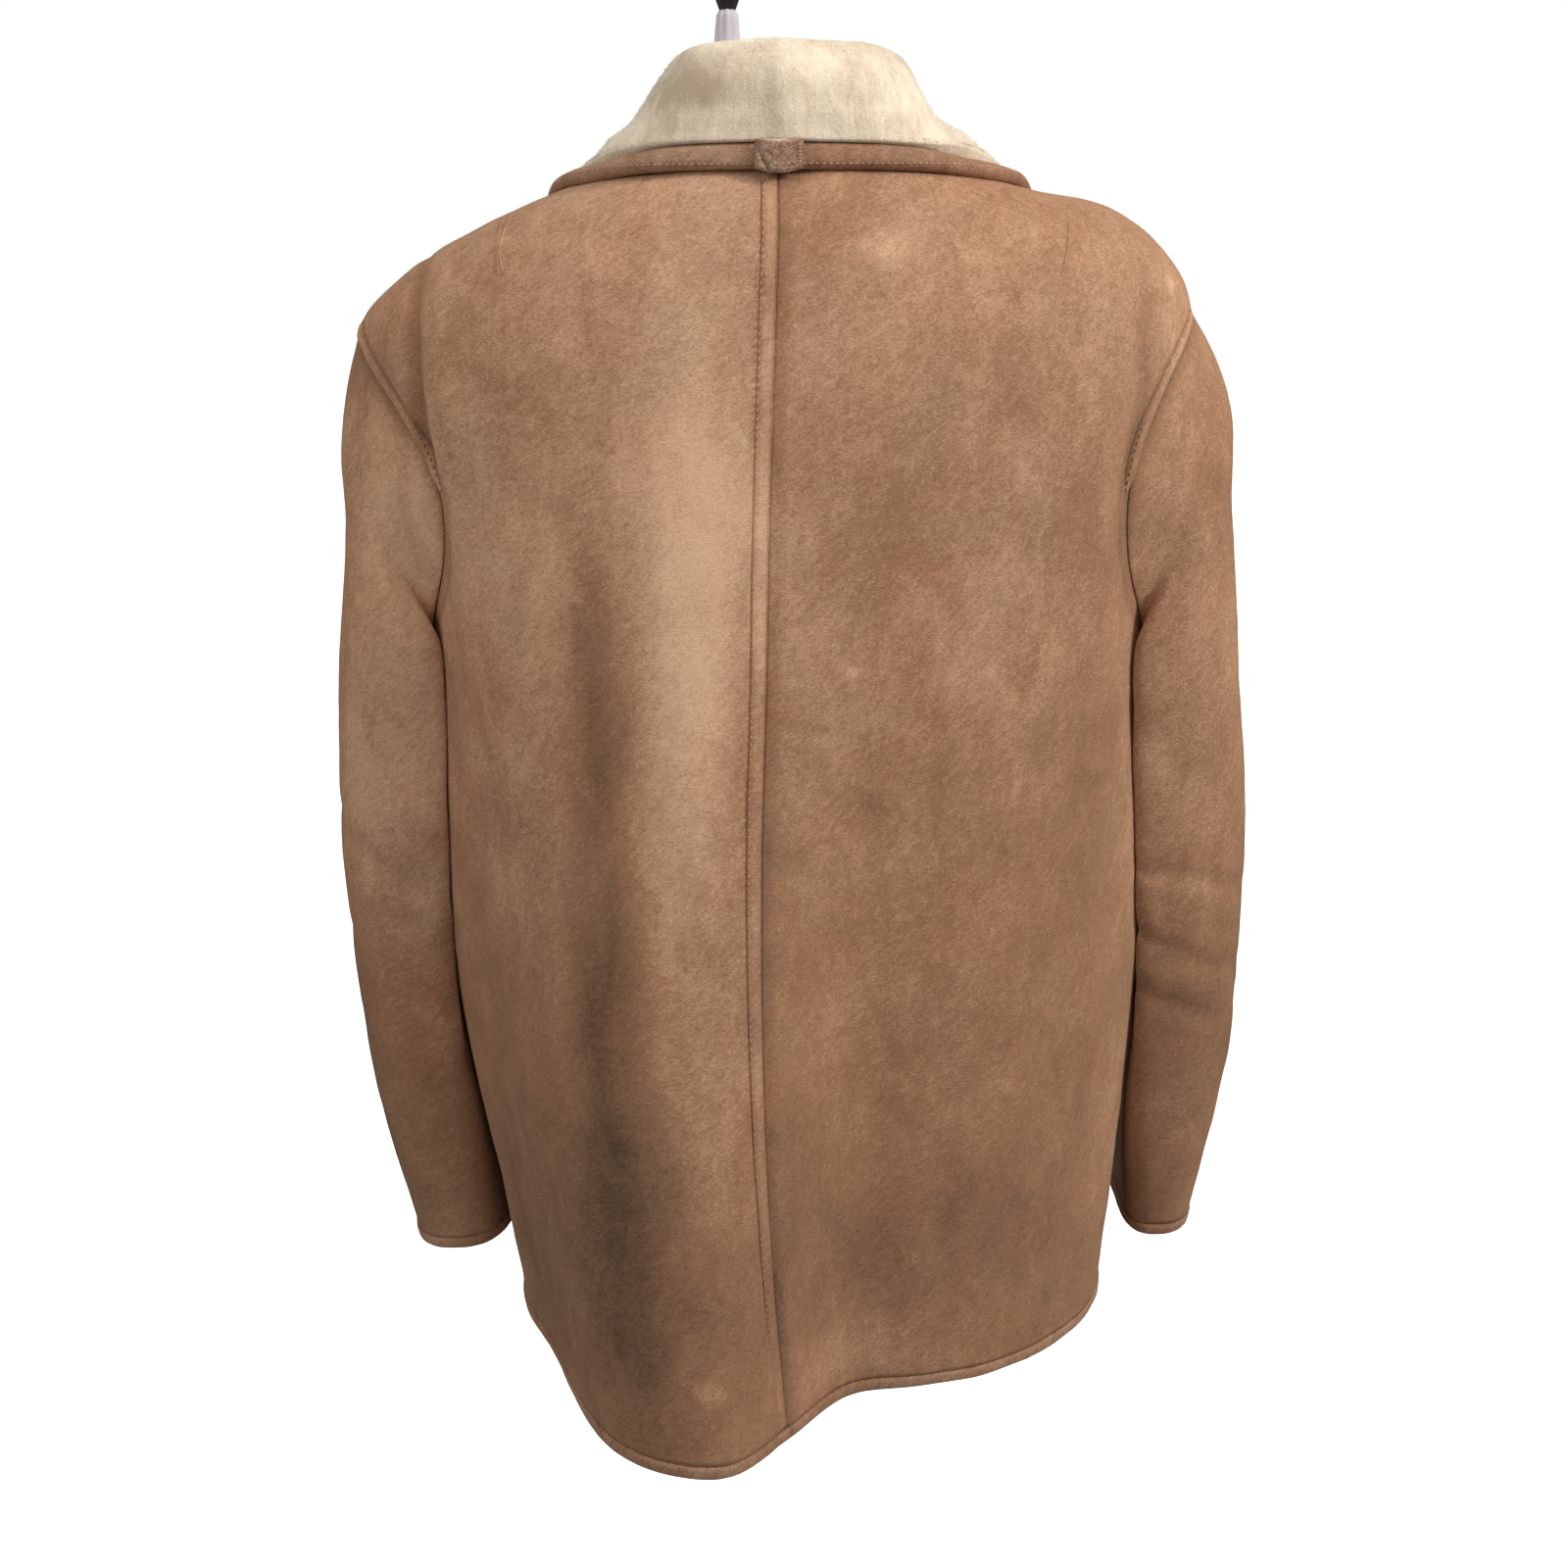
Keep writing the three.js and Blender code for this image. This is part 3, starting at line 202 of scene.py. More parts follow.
def through(keys, values, t):
    """The smooth curve through (keys, values) at t."""
    keys, values, t = np.asarray(keys, float), np.asarray(values, float), np.asarray(t, float)
    more = (1,) * (values.ndim - 1)
    step = np.diff(keys).reshape((-1,) + more)
    slope = np.diff(values, axis=0) / step
    middle = (slope[:-1] * step[1:] + slope[1:] * step[:-1]) / (step[:-1] + step[1:])
    tangent = np.concatenate([slope[:1], middle, slope[-1:]])
    i = np.searchsorted(keys[1:-1], t, side="left")
    h = step[i]
    s = (t - keys[i]).reshape(t.shape + more) / h
    a = 2 * s**3 - 3 * s**2 + 1
    b = s**3 - 2 * s**2 + s
    c = 3 * s**2 - 2 * s**3
    d = s**3 - s**2
    return a * values[i] + b * h * tangent[i] + c * values[i + 1] + d * h * tangent[i + 1]


RING = dict(zip(RING_COLUMNS, np.array(BODY_RINGS, float).T))


def ring(name, at):
    """A column of the body's rings at a distance up from the hem."""
    return through(RING["at"], RING[name], at)


def ease(t):
    t = np.clip(t, 0, 1)
    return t * t * (3 - 2 * t)


def hill(x, middle, half):
    """1 at the middle, and smoothly less to both sides."""
    return np.exp(-(((x - middle) / half) ** 2))


def signed_power(v, p):
    return np.sign(v) * np.abs(v) ** p


def unit(v):
    return v / np.maximum(np.linalg.norm(v, axis=-1, keepdims=True), 1e-9)


def body(turn, at):
    """The suede surface of the body. turn: degrees round from the centre back, + to the left."""
    turn, at = np.broadcast_arrays(np.asarray(turn, float), np.asarray(at, float))
    s, c = np.sin(np.radians(turn)), np.cos(np.radians(turn))
    power = 2 / SQUARENESS
    mid = ring("mid", at)
    z_side = np.where(s >= 0, ring("z_left", at), ring("z_right", at))
    z_end = np.where(c >= 0, ring("z_back", at), ring("z_front", at))
    x = np.where(s >= 0, ring("left", at), ring("right", at)) * signed_power(s, power)
    y = mid + (np.where(c >= 0, ring("back", at), ring("front", at)) - mid) * np.abs(c) ** power
    for middle, right, left, sharp_right, sharp_left, push, depth, start, peak, end in BODY_FOLDS:
        offset = turn - middle
        width = np.where(offset < 0, right, left)
        sharp = np.where(offset < 0, sharp_right, sharp_left)
        across = np.exp(-math.log(2) * np.abs(offset / width) ** sharp)
        falling, rising = (start - at) / (start - peak), (at - end) / (peak - end)
        stand = depth * across * ease(np.where(at > peak, falling, rising))
        x = x + stand * math.sin(math.radians(push))
        y = y + stand * math.cos(math.radians(push))
    return np.stack([x, y, z_side + (z_end - z_side) * c * c], axis=-1)


def right_front(turn, at):
    """The right front passes behind the left one."""
    p = body(turn, at)
    p[..., 1] += UNDERLAP_DEPTH * ease((p[..., 0] - UNDERLAP_FROM) / (UNDERLAP_TO - UNDERLAP_FROM))
    return p


def turn_at_x(x, at, on_front):
    """The turn at which the body is at that x."""
    half = np.where(np.asarray(x) >= 0, ring("left", at), ring("right", at))
    turn = np.degrees(np.arcsin(signed_power(np.clip(x / half, -1, 1), SQUARENESS / 2)))
    return 180 - turn if on_front else turn


def normal_of(surface, u, v, du, dv):
    across = surface(u + du, v) - surface(u - du, v)
    along = surface(u, v + dv) - surface(u, v - dv)
    return unit(np.cross(across, along))


def body_normal(surface, turn, at):
    """Outward from the suede."""
    return -normal_of(surface, turn, np.clip(at, 1, NECK_AT - 1), 0.5, 1)


def front_edge_turn(at):
    """Where the front's edge lies: straight up, then out along the V."""
    up = np.clip((at - BREAK_AT) / (NECK_AT - BREAK_AT), 0, 1)
    x_neck = RING["left"][-1] * math.sin(math.radians(NECK_OPEN_TURN)) ** (2 / SQUARENESS)
    return turn_at_x(-OVERLAP + (x_neck + OVERLAP) * (1 - (1 - up) ** V_EASE), at, True)


def armhole_at(phase):
    """How high the armhole is. phase: 0 at the shoulder tip, 180 under the arm."""
    turned = np.abs((phase + 180) % 360 - 180)
    oval = 0.5 + 0.5 * np.cos(np.radians(turned))
    up = ARMHOLE_OVAL * oval + (1 - ARMHOLE_OVAL) * (1 - turned / 180)
    return UNDERARM_AT + (SHOULDER_TIP_AT - UNDERARM_AT) * up


PHASES = np.linspace(0, 180, 721)


def armhole_phase(at):
    return np.interp(at, armhole_at(PHASES)[::-1], PHASES[::-1])


def armhole_reach(phase):
    """How far round the body from its side the armhole lies; + is behind it."""
    sine, cosine = np.sin(np.radians(phase)), np.cos(np.radians(phase))
    behind = ARMHOLE_BACK_TURN * (1 + ARMHOLE_BACK_HIGH * cosine)
    return np.where(sine >= 0, behind, ARMHOLE_FRONT_TURN) * sine


def side_turn(at, way):
    """A panel's edge at the side and round the armhole. way: 1 for the back, -1 for the front."""
    turn = 90 - armhole_reach(way * armhole_phase(at))
    return np.where((at <= UNDERARM_AT) | (at >= SHOULDER_TIP_AT), 90, turn)


def armhole_turn(side, phase):
    return MIRROR[side] * (90 - armhole_reach(phase))


def body_reach(side, y, z):
    """How far out the body's side reaches at each Y and Z."""
    mirror = MIRROR[side]
    turns = np.linspace(*SIDE_TURNS, 41)
    edge = body(mirror * turns, np.maximum(z - HEM_Z, 0)[..., None])
    reach = np.zeros(y.shape)
    for k in np.ndindex(y.shape):
        reach[k] = np.interp(-y[k], -edge[k][:, 1], mirror * edge[k][:, 0], left=0, right=0)
    return reach


def sleeve_rings(side, phases):
    """The points of each ring of a sleeve, from the armhole down, at each phase."""
    mirror = MIRROR[side]
    power = 2 / SLEEVE_SQUARENESS
    flat = np.cos(np.radians(phases))
    c, s = signed_power(flat, power), signed_power(np.sin(np.radians(phases)), power)
    rows = [body(armhole_turn(side, phases), armhole_at(phases))]
    for _, x_in, x_out, front, back, z_in, z_out, tuck in SLEEVE_RINGS[side]:
        y = (front + back) / 2 + (back - front) / 2 * s
        z = (z_in + z_out) / 2 + (z_out - z_in) / 2 * flat
        x = (x_in + x_out) / 2 + (x_out - x_in) / 2 * c - tuck * np.maximum(s, 0) ** 2 * (1 - c)
        least = np.where(c > OUTER_SIDE, 0, body_reach(side, y, z) + SLEEVE_CLEAR)
        rows.append(np.stack([mirror * np.maximum(x, least), y, z], axis=-1))
    return np.array(rows)


def sleeve(side, phases, alongs):
    """Points of the suede of a sleeve: a row for each along, a column for each phase."""
    keys = [0] + [row[0] for row in SLEEVE_RINGS[side]]
    return through(keys, sleeve_rings(side, phases), alongs)


def grid_normals(points, ringed=False):
    """Normals of a grid of points, from its neighbours."""
    if ringed:
        wide = np.concatenate([points[:, -1:], points, points[:, :1]], axis=1)
        across = wide[:, 2:] - wide[:, :-2]
    else:
        across = np.gradient(points, axis=1)
    return unit(np.cross(across, np.gradient(points, axis=0)))


def even(start, end, step):
    """Numbers from start to end, about a step apart."""
    return np.linspace(start, end, max(2, int(round(abs(end - start) / step)) + 1))


def edged(width, step):
    """Places from 0 to 1 across a piece of that width, closer together at both edges."""
    close = np.array([0, 0.3, 0.8, 1.5, 2.6, 4]) / width
    return np.concatenate([close, even(6 / width, 1 - 6 / width, step / width), (1 - close)[::-1]])


def rounded(distance, radius):
    """How far a rounded edge has dropped at each distance from it."""
    in_edge = np.clip(radius - distance, 0, radius)
    return radius - np.sqrt(radius**2 - in_edge**2)


def edge_distance(points):
    """Distance of each point from the nearer end of its row."""
    run = np.linalg.norm(np.diff(points, axis=1), axis=-1)
    run = np.concatenate([np.zeros((len(points), 1)), np.cumsum(run, axis=1)], axis=1)
    return np.minimum(run, run[:, -1:] - run)


def noise_at(points, size, seed):
    """Smooth noise from -1 to 1 with features of that size in millimetres."""
    flat = points.reshape(-1, 3) / size + 17.3 * seed
    return np.array([noise.noise(Vector(p)) for p in flat]).reshape(points.shape[:-1])


def creased(u, v, table, per_u=1.0):
    """How far the surface stands out at (u, v) for a table of creases."""
    total = np.zeros(np.broadcast(u, v).shape)
    for k, (u0, v0, length, lean, width, depth) in enumerate(table):
        du, dv = (u - u0) * per_u, v - v0
        lean = math.radians(lean)
        along = du * math.sin(lean) + dv * math.cos(lean)
        across = du * math.cos(lean) - dv * math.sin(lean)
        across = across + 0.12 * width * np.sin(along / (9 + 2 * (k % 3)) + k)
        across = across - 0.002 * (k % 5 - 2) * along**2 / 9
        total += depth * hill(across, 0, width) * np.exp(-((2 * along / length) ** 4))
    return total


def body_relief(points):
    """The creases of the body, and the slow unevenness of a skin."""
    x, y, z = points[..., 0], points[..., 1], points[..., 2]
    behind = ease((y + 30) / 60)
    relief = behind * creased(x, z, BACK_CREASES) + (1 - behind) * creased(x, z, FRONT_CREASES)
    relief = relief + 1.1 * noise_at(points, 75, 1)
    return relief + 0.5 * noise_at(points, 26, 2) + 0.16 * noise_at(points, 8, 3)


def sleeve_relief(side, phases, alongs, points):
    """The creases of a sleeve, and its slow unevenness."""
    across = (phases + 180)[None, :] % 360 - 180
    relief = creased(across, alongs[:, None], SLEEVE_CREASES[side], per_u=1.15)
    fade = ease(alongs / 40)[:, None]
    relief = 0.85 * fade * relief + 0.6 * noise_at(points, 60, 4)
    return relief + 0.35 * noise_at(points, 24, 5) + 0.14 * noise_at(points, 8, 6)


def wool_side(points):
    """How unevenly the wool ends inside the coat."""
    return 0.5 * noise_at(points, 9, 7)


# Meshes.


def wall_mesh(outer, inner):
    """Vertices, faces and whether each face is the inner side, of the shell between two grids."""
    rows, columns = outer.shape[:2]
    points = np.concatenate([outer.reshape(-1, 3), inner.reshape(-1, 3)])
    count = rows * columns
    i, j = np.meshgrid(np.arange(rows - 1), np.arange(columns - 1), indexing="ij")
    a, b = i * columns + j, i * columns + j + 1
    c, d = b + columns, a + columns
    faces = [np.stack([a, b, c, d], -1).reshape(-1, 4), np.stack([a, d, c, b], -1).reshape(-1, 4) + count]
    sides = [np.zeros(len(faces[0]), int), np.ones(len(faces[1]), int)]

    def strip(edge, flip):
        pairs = np.stack([edge[:-1], edge[1:], edge[1:] + count, edge[:-1] + count], -1)
        faces.append(pairs[:, ::-1] if flip else pairs)
        sides.append(np.zeros(len(pairs), int))

    across, along = np.arange(columns), np.arange(rows) * columns
    strip(across, True)
    strip(across + (rows - 1) * columns, False)
    strip(along, False)
    strip(along + columns - 1, True)
    return points, np.concatenate(faces), np.concatenate(sides)


def bar_mesh(sections, ringed=False):
    """A closed bar; sections has the same polygon at each step of its way."""
    steps, sides = sections.shape[:2]
    i, j = np.meshgrid(np.arange(steps if ringed else steps - 1), np.arange(sides), indexing="ij")
    here, there = i * sides, ((i + 1) % steps) * sides
    next_j = (j + 1) % sides
    faces = np.stack([here + j, here + next_j, there + next_j, there + j], -1).reshape(-1, 4)
    faces = [list(f) for f in faces]
    if not ringed:
        faces.append(list(range(sides))[::-1])
        faces.append([(steps - 1) * sides + k for k in range(sides)])
    return sections.reshape(-1, 3), faces, None


def piece(name, form, materials, tone=None, node=None):
    """A mesh object in place of a node. form: points, faces and the material of each face, or None."""
    points, faces, sides = form
    mesh = bpy.data.meshes.new(name)
    mesh.from_pydata((points - ROW_ORIGIN) / 1000, [], [list(map(int, f)) for f in faces])
    for material in materials:
        mesh.materials.append(material)
    if sides is not None:
        mesh.polygons.foreach_set("material_index", np.asarray(sides, np.int32))
    if tone is not None:
        layer = mesh.attributes.new("tone", "FLOAT", "POINT")
        layer.data.foreach_set("value", np.asarray(tone, np.float32).ravel())
    mesh.update()
    mesh.validate()
    corner = np.array([v.co for v in mesh.vertices])
    mesh.calc_loop_triangles()
    triangles = np.array([t.vertices for t in mesh.loop_triangles])
    p, q, r = corner[triangles].transpose(1, 0, 2)
    if np.einsum("ij,ij->i", p - corner[0], np.cross(q - corner[0], r - corner[0])).sum() < 0:
        mesh.flip_normals()
    mesh.polygons.foreach_set("use_smooth", np.ones(len(mesh.polygons), bool))
    obj = bpy.data.objects.new(name, mesh)
    bpy.context.scene.collection.objects.link(obj)
    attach(obj, "root")
    if node:
        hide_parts(node)
    return obj


# Materials.


class Nodes:
    """A procedural material, with short calls for its nodes."""

    def __init__(self, name):
        self.material = bpy.data.materials.new(name)
        self.material.use_nodes = True
        self.tree = self.material.node_tree
        self.shader = self.tree.nodes["Principled BSDF"]
        self.place = self.tree.nodes.new("ShaderNodeTexCoord").outputs["Object"]

    def put(self, socket, value):
        """Links a socket to a node's output, or sets its value."""
        if isinstance(value, bpy.types.NodeSocket):
            self.tree.links.new(value, socket)
        else:
            socket.default_value = value

    def node(self, kind, inputs):
        """A new node, with values or links on the inputs named."""
        node = self.tree.nodes.new(f"ShaderNode{kind}")
        for name, value in inputs.items():
            self.put(node.inputs[name], value)
        return node

    def shade(self, inputs):
        for name, value in inputs.items():
            self.put(self.shader.inputs[name], value)

    def stretched(self, x, y, z, turn=0):
        turned = self.node("Mapping", {"Vector": self.place, "Rotation": (0, math.radians(turn), 0)})
        scaled = self.node("Mapping", {"Vector": turned.outputs["Vector"], "Scale": (x, y, z)})
        return scaled.outputs["Vector"]

    def noise(self, scale, detail, rough=0.55, vector=None, distort=0):
        place = self.place if vector is None else vector
        inputs = {"Vector": place, "Scale": scale, "Detail": detail}
        inputs |= {"Roughness": rough, "Distortion": distort}
        return self.node("TexNoise", inputs).outputs["Fac"]

    def fit(self, value, low, high, to_low=0.0, to_high=1.0):
        """The value, moved from one range to another."""
        inputs = {"Value": value, "From Min": low, "From Max": high, "To Min": to_low, "To Max": to_high}
        return self.node("MapRange", inputs).outputs["Result"]

    def math(self, kind, a, b):
        node = self.node("Math", {0: a, 1: b})
        node.operation = kind
        return node.outputs[0]

    def mix(self, share, a, b, kind="MIX"):
        node = self.tree.nodes.new("ShaderNodeMix")
        node.data_type = "RGBA"
        node.blend_type = kind
        self.put(node.inputs["Factor"], share)
        self.put(node.inputs["A"], a)
        self.put(node.inputs["B"], b)
        return node.outputs["Result"]

    def tone(self):
        node = self.node("Attribute", {})
        node.attribute_name = "tone"
        return node.outputs["Fac"]

    def bump(self, height, distance, strength, normal=None):
        inputs = {"Strength": strength, "Distance": distance, "Height": height}
        if normal is not None:
            inputs["Normal"] = normal
        return self.node("Bump", inputs).outputs["Normal"]


def srgb(r, g, b):
    """A colour given from 0 to 255, as the shader takes it."""
    linear = [((c / 255 + 0.055) / 1.055) ** 2.4 if c > 10 else c / 255 / 12.92 for c in (r, g, b)]
    return tuple(linear) + (1.0,)


NAP_LEAN = 50


def suede(name, dark, middle, pale):
    """Brushed suede: a mottled nap in three tones."""
    n = Nodes(name)
    broad = n.noise(7, 3, 0.55)
    brushed = n.noise(42, 5, 0.6, n.stretched(1, 1, 0.5), distort=0.6)
    fine = n.noise(330, 4, 0.7, n.stretched(1, 1, 0.4, NAP_LEAN))
    grain = n.noise(900, 3, 0.8, n.stretched(0.6, 0.6, 1))
    value = n.math("ADD", n.fit(broad, 0.3, 0.7, -0.2, 0.2), n.fit(brushed, 0.3, 0.7, -0.17, 0.17))
    value = n.math("ADD", value, n.fit(fine, 0.3, 0.7, -0.18, 0.18))
    value = n.math("ADD", value, n.fit(grain, 0.32, 0.68, -0.26, 0.26))
    # The tone attribute adds the nap's spots and the painted highlights and painted shade.
    value = n.math("ADD", value, n.tone())
    colour = n.mix(n.fit(value, -1.0, 0.0), dark, middle)
    colour = n.mix(n.fit(value, 0.0, 1.0), colour, pale)
    hue = n.mix(n.fit(n.noise(16, 4, 0.6), 0.42, 0.62), srgb(254, 248, 244), srgb(250, 251, 248))
    nap = n.bump(n.math("ADD", fine, grain), 0.0009, 0.6)
    n.shade({
        "Base Color": n.mix(1.0, colour, hue, "MULTIPLY"),
        "Roughness": 0.92,
        "Specular IOR Level": 0.12,
        "Sheen Weight": 0.15,
        "Sheen Roughness": 0.6,
        "Sheen Tint": pale,
        "Normal": n.bump(brushed, 0.0016, 0.5, nap),
    })
    return n.material


def woolly(name, dark, pale):
    """Clipped wool in small locks."""
    n = Nodes(name)
    streaks = n.noise(170, 5, 0.65, n.stretched(1, 1, 0.3), distort=0.5)
    clumps = n.noise(45, 4, 0.6)
    fuzz = n.noise(700, 3, 0.7)
    value = n.math("ADD", n.fit(streaks, 0.3, 0.7, 0.1, 0.5), n.fit(clumps, 0.3, 0.7, 0, 0.45))
    value = n.math("ADD", value, n.fit(fuzz, 0.3, 0.7, -0.12, 0.12))
    # The tone attribute adds the wool's pale and dark places, among them painted shade.
    value = n.math("ADD", value, n.tone())
    n.shade({
        "Base Color": n.mix(n.fit(value, 0, 1), dark, pale),
        "Roughness": 0.95,
        "Specular IOR Level": 0.1,
        "Sheen Weight": 0.4,
        "Sheen Roughness": 0.5,
        "Normal": n.bump(fuzz, 0.0008, 0.6, n.bump(streaks, 0.0014, 0.5)),
    })
    return n.material


def plain(name, colour, rough, bump_scale=None, bump_depth=0.0003, spread=0.12):
    """One colour, a little darker in patches by the spread."""
    n = Nodes(name)
    patches = n.fit(n.noise(60, 4), 0.3, 0.7, 0, 1)
    darker = tuple(c * (1 - spread) for c in colour[:3]) + (1.0,)
    n.shade({"Base Color": n.mix(patches, darker, colour), "Roughness": rough})
    if bump_scale:
        n.shade({"Normal": n.bump(n.noise(bump_scale, 3), bump_depth, 0.5)})
    return n.material


SUEDE = suede("suede", srgb(88, 68, 52), srgb(162, 121, 92), srgb(228, 186, 152))
EDGE = suede("suede_edge", srgb(88, 64, 48), srgb(144, 108, 82), srgb(204, 168, 142))
LOOP_SUEDE = suede("loop_suede", srgb(84, 60, 44), srgb(134, 99, 75), srgb(232, 212, 196))
WOOL = woolly("wool", srgb(190, 168, 138), srgb(250, 232, 204))
LINING = woolly("lining_wool", srgb(150, 128, 100), srgb(214, 196, 168))
THREAD = plain("thread", srgb(206, 160, 136), 0.8)
DARK_THREAD = plain("dark_thread", srgb(104, 76, 58), 0.8)
HORN = plain("horn", srgb(74, 46, 29), 0.32, 90, 0.0003, spread=0.5)
CLOTH = plain("hanger_cloth", srgb(206, 198, 204), 0.85, 1400, 0.0004)
METAL = plain("black_metal", srgb(20, 20, 21), 0.35, 400, 0.0001)


def near(points, x0, z0, half_x, half_z):
    """1 at (x0, z0), and less with the distance from it."""
    return np.exp(-(((points[..., 0] - x0) / half_x) ** 2) - ((points[..., 2] - z0) / half_z) ** 2)


def nap_and_painted_light(points):
    """How pale or dark the suede is at each point: spots of its nap, painted highlights and painted shade.
    """
    y, z = points[..., 1], points[..., 2]
    behind = ease((y + 10) / 60)
    total = np.zeros(points.shape[:-1])
    for x0, z0, half_x, half_z, amount in BACK_SPOTS_AND_PAINTED_LIGHT:
        total += amount * near(points, x0, z0, half_x, half_z)
    # Painted shade: the suede is painted darker towards the hem.
    return behind * total - 0.3 * ease((-z - 420) / 340) + 0.08


# The panels of the body.


def back_seam_turn(at):
    return turn_at_x(ring("seam", at), at, False)


def back_side(at):
    return side_turn(at, 1)


def front_side(at):
    return side_turn(at, -1)


def mirrored(edge_turn):
    return lambda at: -edge_turn(at)


# name: surface, the turns of its two edges, mean width, which edge has the armhole, step.
PANELS = {
    "back_left": (body, back_seam_turn, back_side, 250, -1, 3.4),
    "back_right": (body, mirrored(back_side), back_seam_turn, 230, 0, 3.4),
    "front_left": (body, front_side, front_edge_turn, 240, 0, 5),
    "front_right": (right_front, mirrored(front_edge_turn), mirrored(front_side), 240, -1, 5),
}
SEAM_LAP_TURN = 0.08  # by which two panels meet inside their seam
SEAM_RADIUS = 1.8
SLEEVE_SEAM_RADIUS = 1.2
RELIEF_FROM_EDGE = 12  # the relief grows to its full height over this distance from an edge
# Where the painted shade beside the seams and beside the armhole's lap lies, how wide it is, and how dark.
SEAM_SHADE_AT, SEAM_SHADE_HALF = 3, 5
HOLE_SHADE_AT, HOLE_SHADE_HALF = 12, 3.5
PANEL_SHADE = 0.35
HEM_WAVE = 0.8


def mitre(side, phases):
    """The inner point at which the body's wall and the sleeve's meet at the armhole."""
    turn, at = armhole_turn(side, phases), armhole_at(phases)
    down = sleeve(side, phases, np.array([0.0, 2.0]))
    turned = sleeve(side, phases + 1, np.array([1.0])) - sleeve(side, phases - 1, np.array([1.0]))
    outward = -MIRROR[side] * unit(np.cross(turned[0], down[1] - down[0]))
    wall = body_normal(body, turn, at)
    middle = unit(wall + outward)
    reach = np.minimum(MITRE_MOST, 1 / np.maximum(0.1, (middle * wall).sum(-1)))
    return body(turn, at) - middle * (SKIN * reach)[:, None]


def turns_across(start, end, rows, share):
    """Turns at shares from 0 to 1 of the way from one edge of a panel to the other."""
    first, last = start(rows) - SEAM_LAP_TURN, end(rows) + SEAM_LAP_TURN
    return (1 - share) * first[:, None] + share * last[:, None]


def panel(name, on_it):
    """The suede and wool of a panel. on_it: the pieces joined to it; not used."""
    part, side = name.split("_")
    surface, start, end, width, hole, step = PANELS[name]
    below, above = even(BINDING + SEAM_GAP, UNDERARM_AT, step), even(SHOULDER_TIP_AT, NECK_AT, step)
    rows = np.concatenate([below, armhole_at(even(180, 0, 2.5))[1:-1], above])
    share = edged(width, step)[None, :]
    at = rows[:, None] + 0 * share
    turn = turns_across(start, end, rows, share)
    points = surface(turn, at)
    normals = body_normal(surface, turn, at)
    away = edge_distance(points)
    relief = body_relief(points) * ease(away / RELIEF_FROM_EDGE) - rounded(away, SEAM_RADIUS)
    outer = points + normals * relief[..., None]
    inner = points - normals * (SKIN - wool_side(points))[..., None]
    in_hole = (rows > UNDERARM_AT) & (rows < SHOULDER_TIP_AT)
    phases = armhole_phase(rows[in_hole])
    inner[in_hole, hole] = mitre(side, phases if part == "back" else -phases)
    # Painted shade beside the seams, and on the back beside the armhole's lap.
    seam_shade = -PANEL_SHADE * hill(away, SEAM_SHADE_AT, SEAM_SHADE_HALF)
    if part == "back":
        hole_half = share > 0.5 if hole == -1 else share < 0.5
        hole_shade = PANEL_SHADE * hill(away, HOLE_SHADE_AT, HOLE_SHADE_HALF)
        seam_shade = seam_shade - hole_shade * (in_hole[:, None] & hole_half)
    tone = on_outer(nap_and_painted_light(points) + seam_shade)
    obj = piece(f"{name}_suede", wall_mesh(outer, inner), [SUEDE, LINING], tone, name)


def on_outer(tone):
    """Tones of a wall whose outer side has these, and whose inner side has none."""
    return np.concatenate([tone.ravel(), np.zeros(tone.size)])


def rolled(points, normals, skin, proud):
    """Sections of a rolled binding. points: rows across it, the first at the folded edge."""
    depth = skin + 2 * proud
    run = np.concatenate([[0], np.cumsum(np.linalg.norm(np.diff(points, axis=0), axis=-1).mean(axis=1))])
    shape = []
    for angle in np.radians(np.linspace(90, -90, 13)):
        down, out = depth / 2 * (1 - math.cos(angle)), proud - depth / 2 * (1 - math.sin(angle))
        shape.append((down, out))
    far = run[-1]
    shape += [(0.7 * far, -skin - proud), (far, -skin - 0.4 * proud), (far, 0.4 * proud), (0.7 * far, proud)]
    sections = []
    for down, out in shape:
        place = np.array([through(run, points[:, j], np.array(down)) for j in range(points.shape[1])])
        lean = np.array([through(run, normals[:, j], np.array(down)) for j in range(points.shape[1])])
        uneven = 0.35 * noise_at(place, 14, 8) + 0.2 * noise_at(place, 5, 9)
        sections.append(place + lean * (out + uneven)[:, None])
    return np.array(sections).transpose(1, 0, 2)


def hem_binding(name):
    """The rolled edge at the hem of a panel."""
    surface, start, end, width, _, _ = PANELS[name]
    rows = np.linspace(0, BINDING, 5)
    share = np.linspace(0, 1, int(width / 3))[None, :]
    turn = turns_across(start, end, rows, share)
    at = rows[:, None] + 0 * share
    points, normals = surface(turn, at), body_normal(surface, turn, at)
    points[..., 2] += HEM_WAVE * noise_at(points, 30, 10)
    sections = rolled(points, normals, SKIN, PROUD)
    tone = 0.12 + 0 * sections[..., 0]
    node = f"hem_binding_{name}"
    return piece(f"hem_{name}_roll", bar_mesh(sections), [EDGE], tone, node)


# The sleeves.

SLEEVE_LAP_TURN = 0.25  # by which the two pieces of a sleeve meet inside their seam
# Painted light on a sleeve: how much paler it is painted all over, and how much painted shade it has low
# down and on two of its sides.
SLEEVE_PAINTED_LIGHT = {
    "left": {"all": 0.52, "low": 0.65, "inner": 0.4, "outer": 0.95},
    "right": {"all": 0.16, "low": 0.35, "inner": 0.25, "outer": 0.35},
}


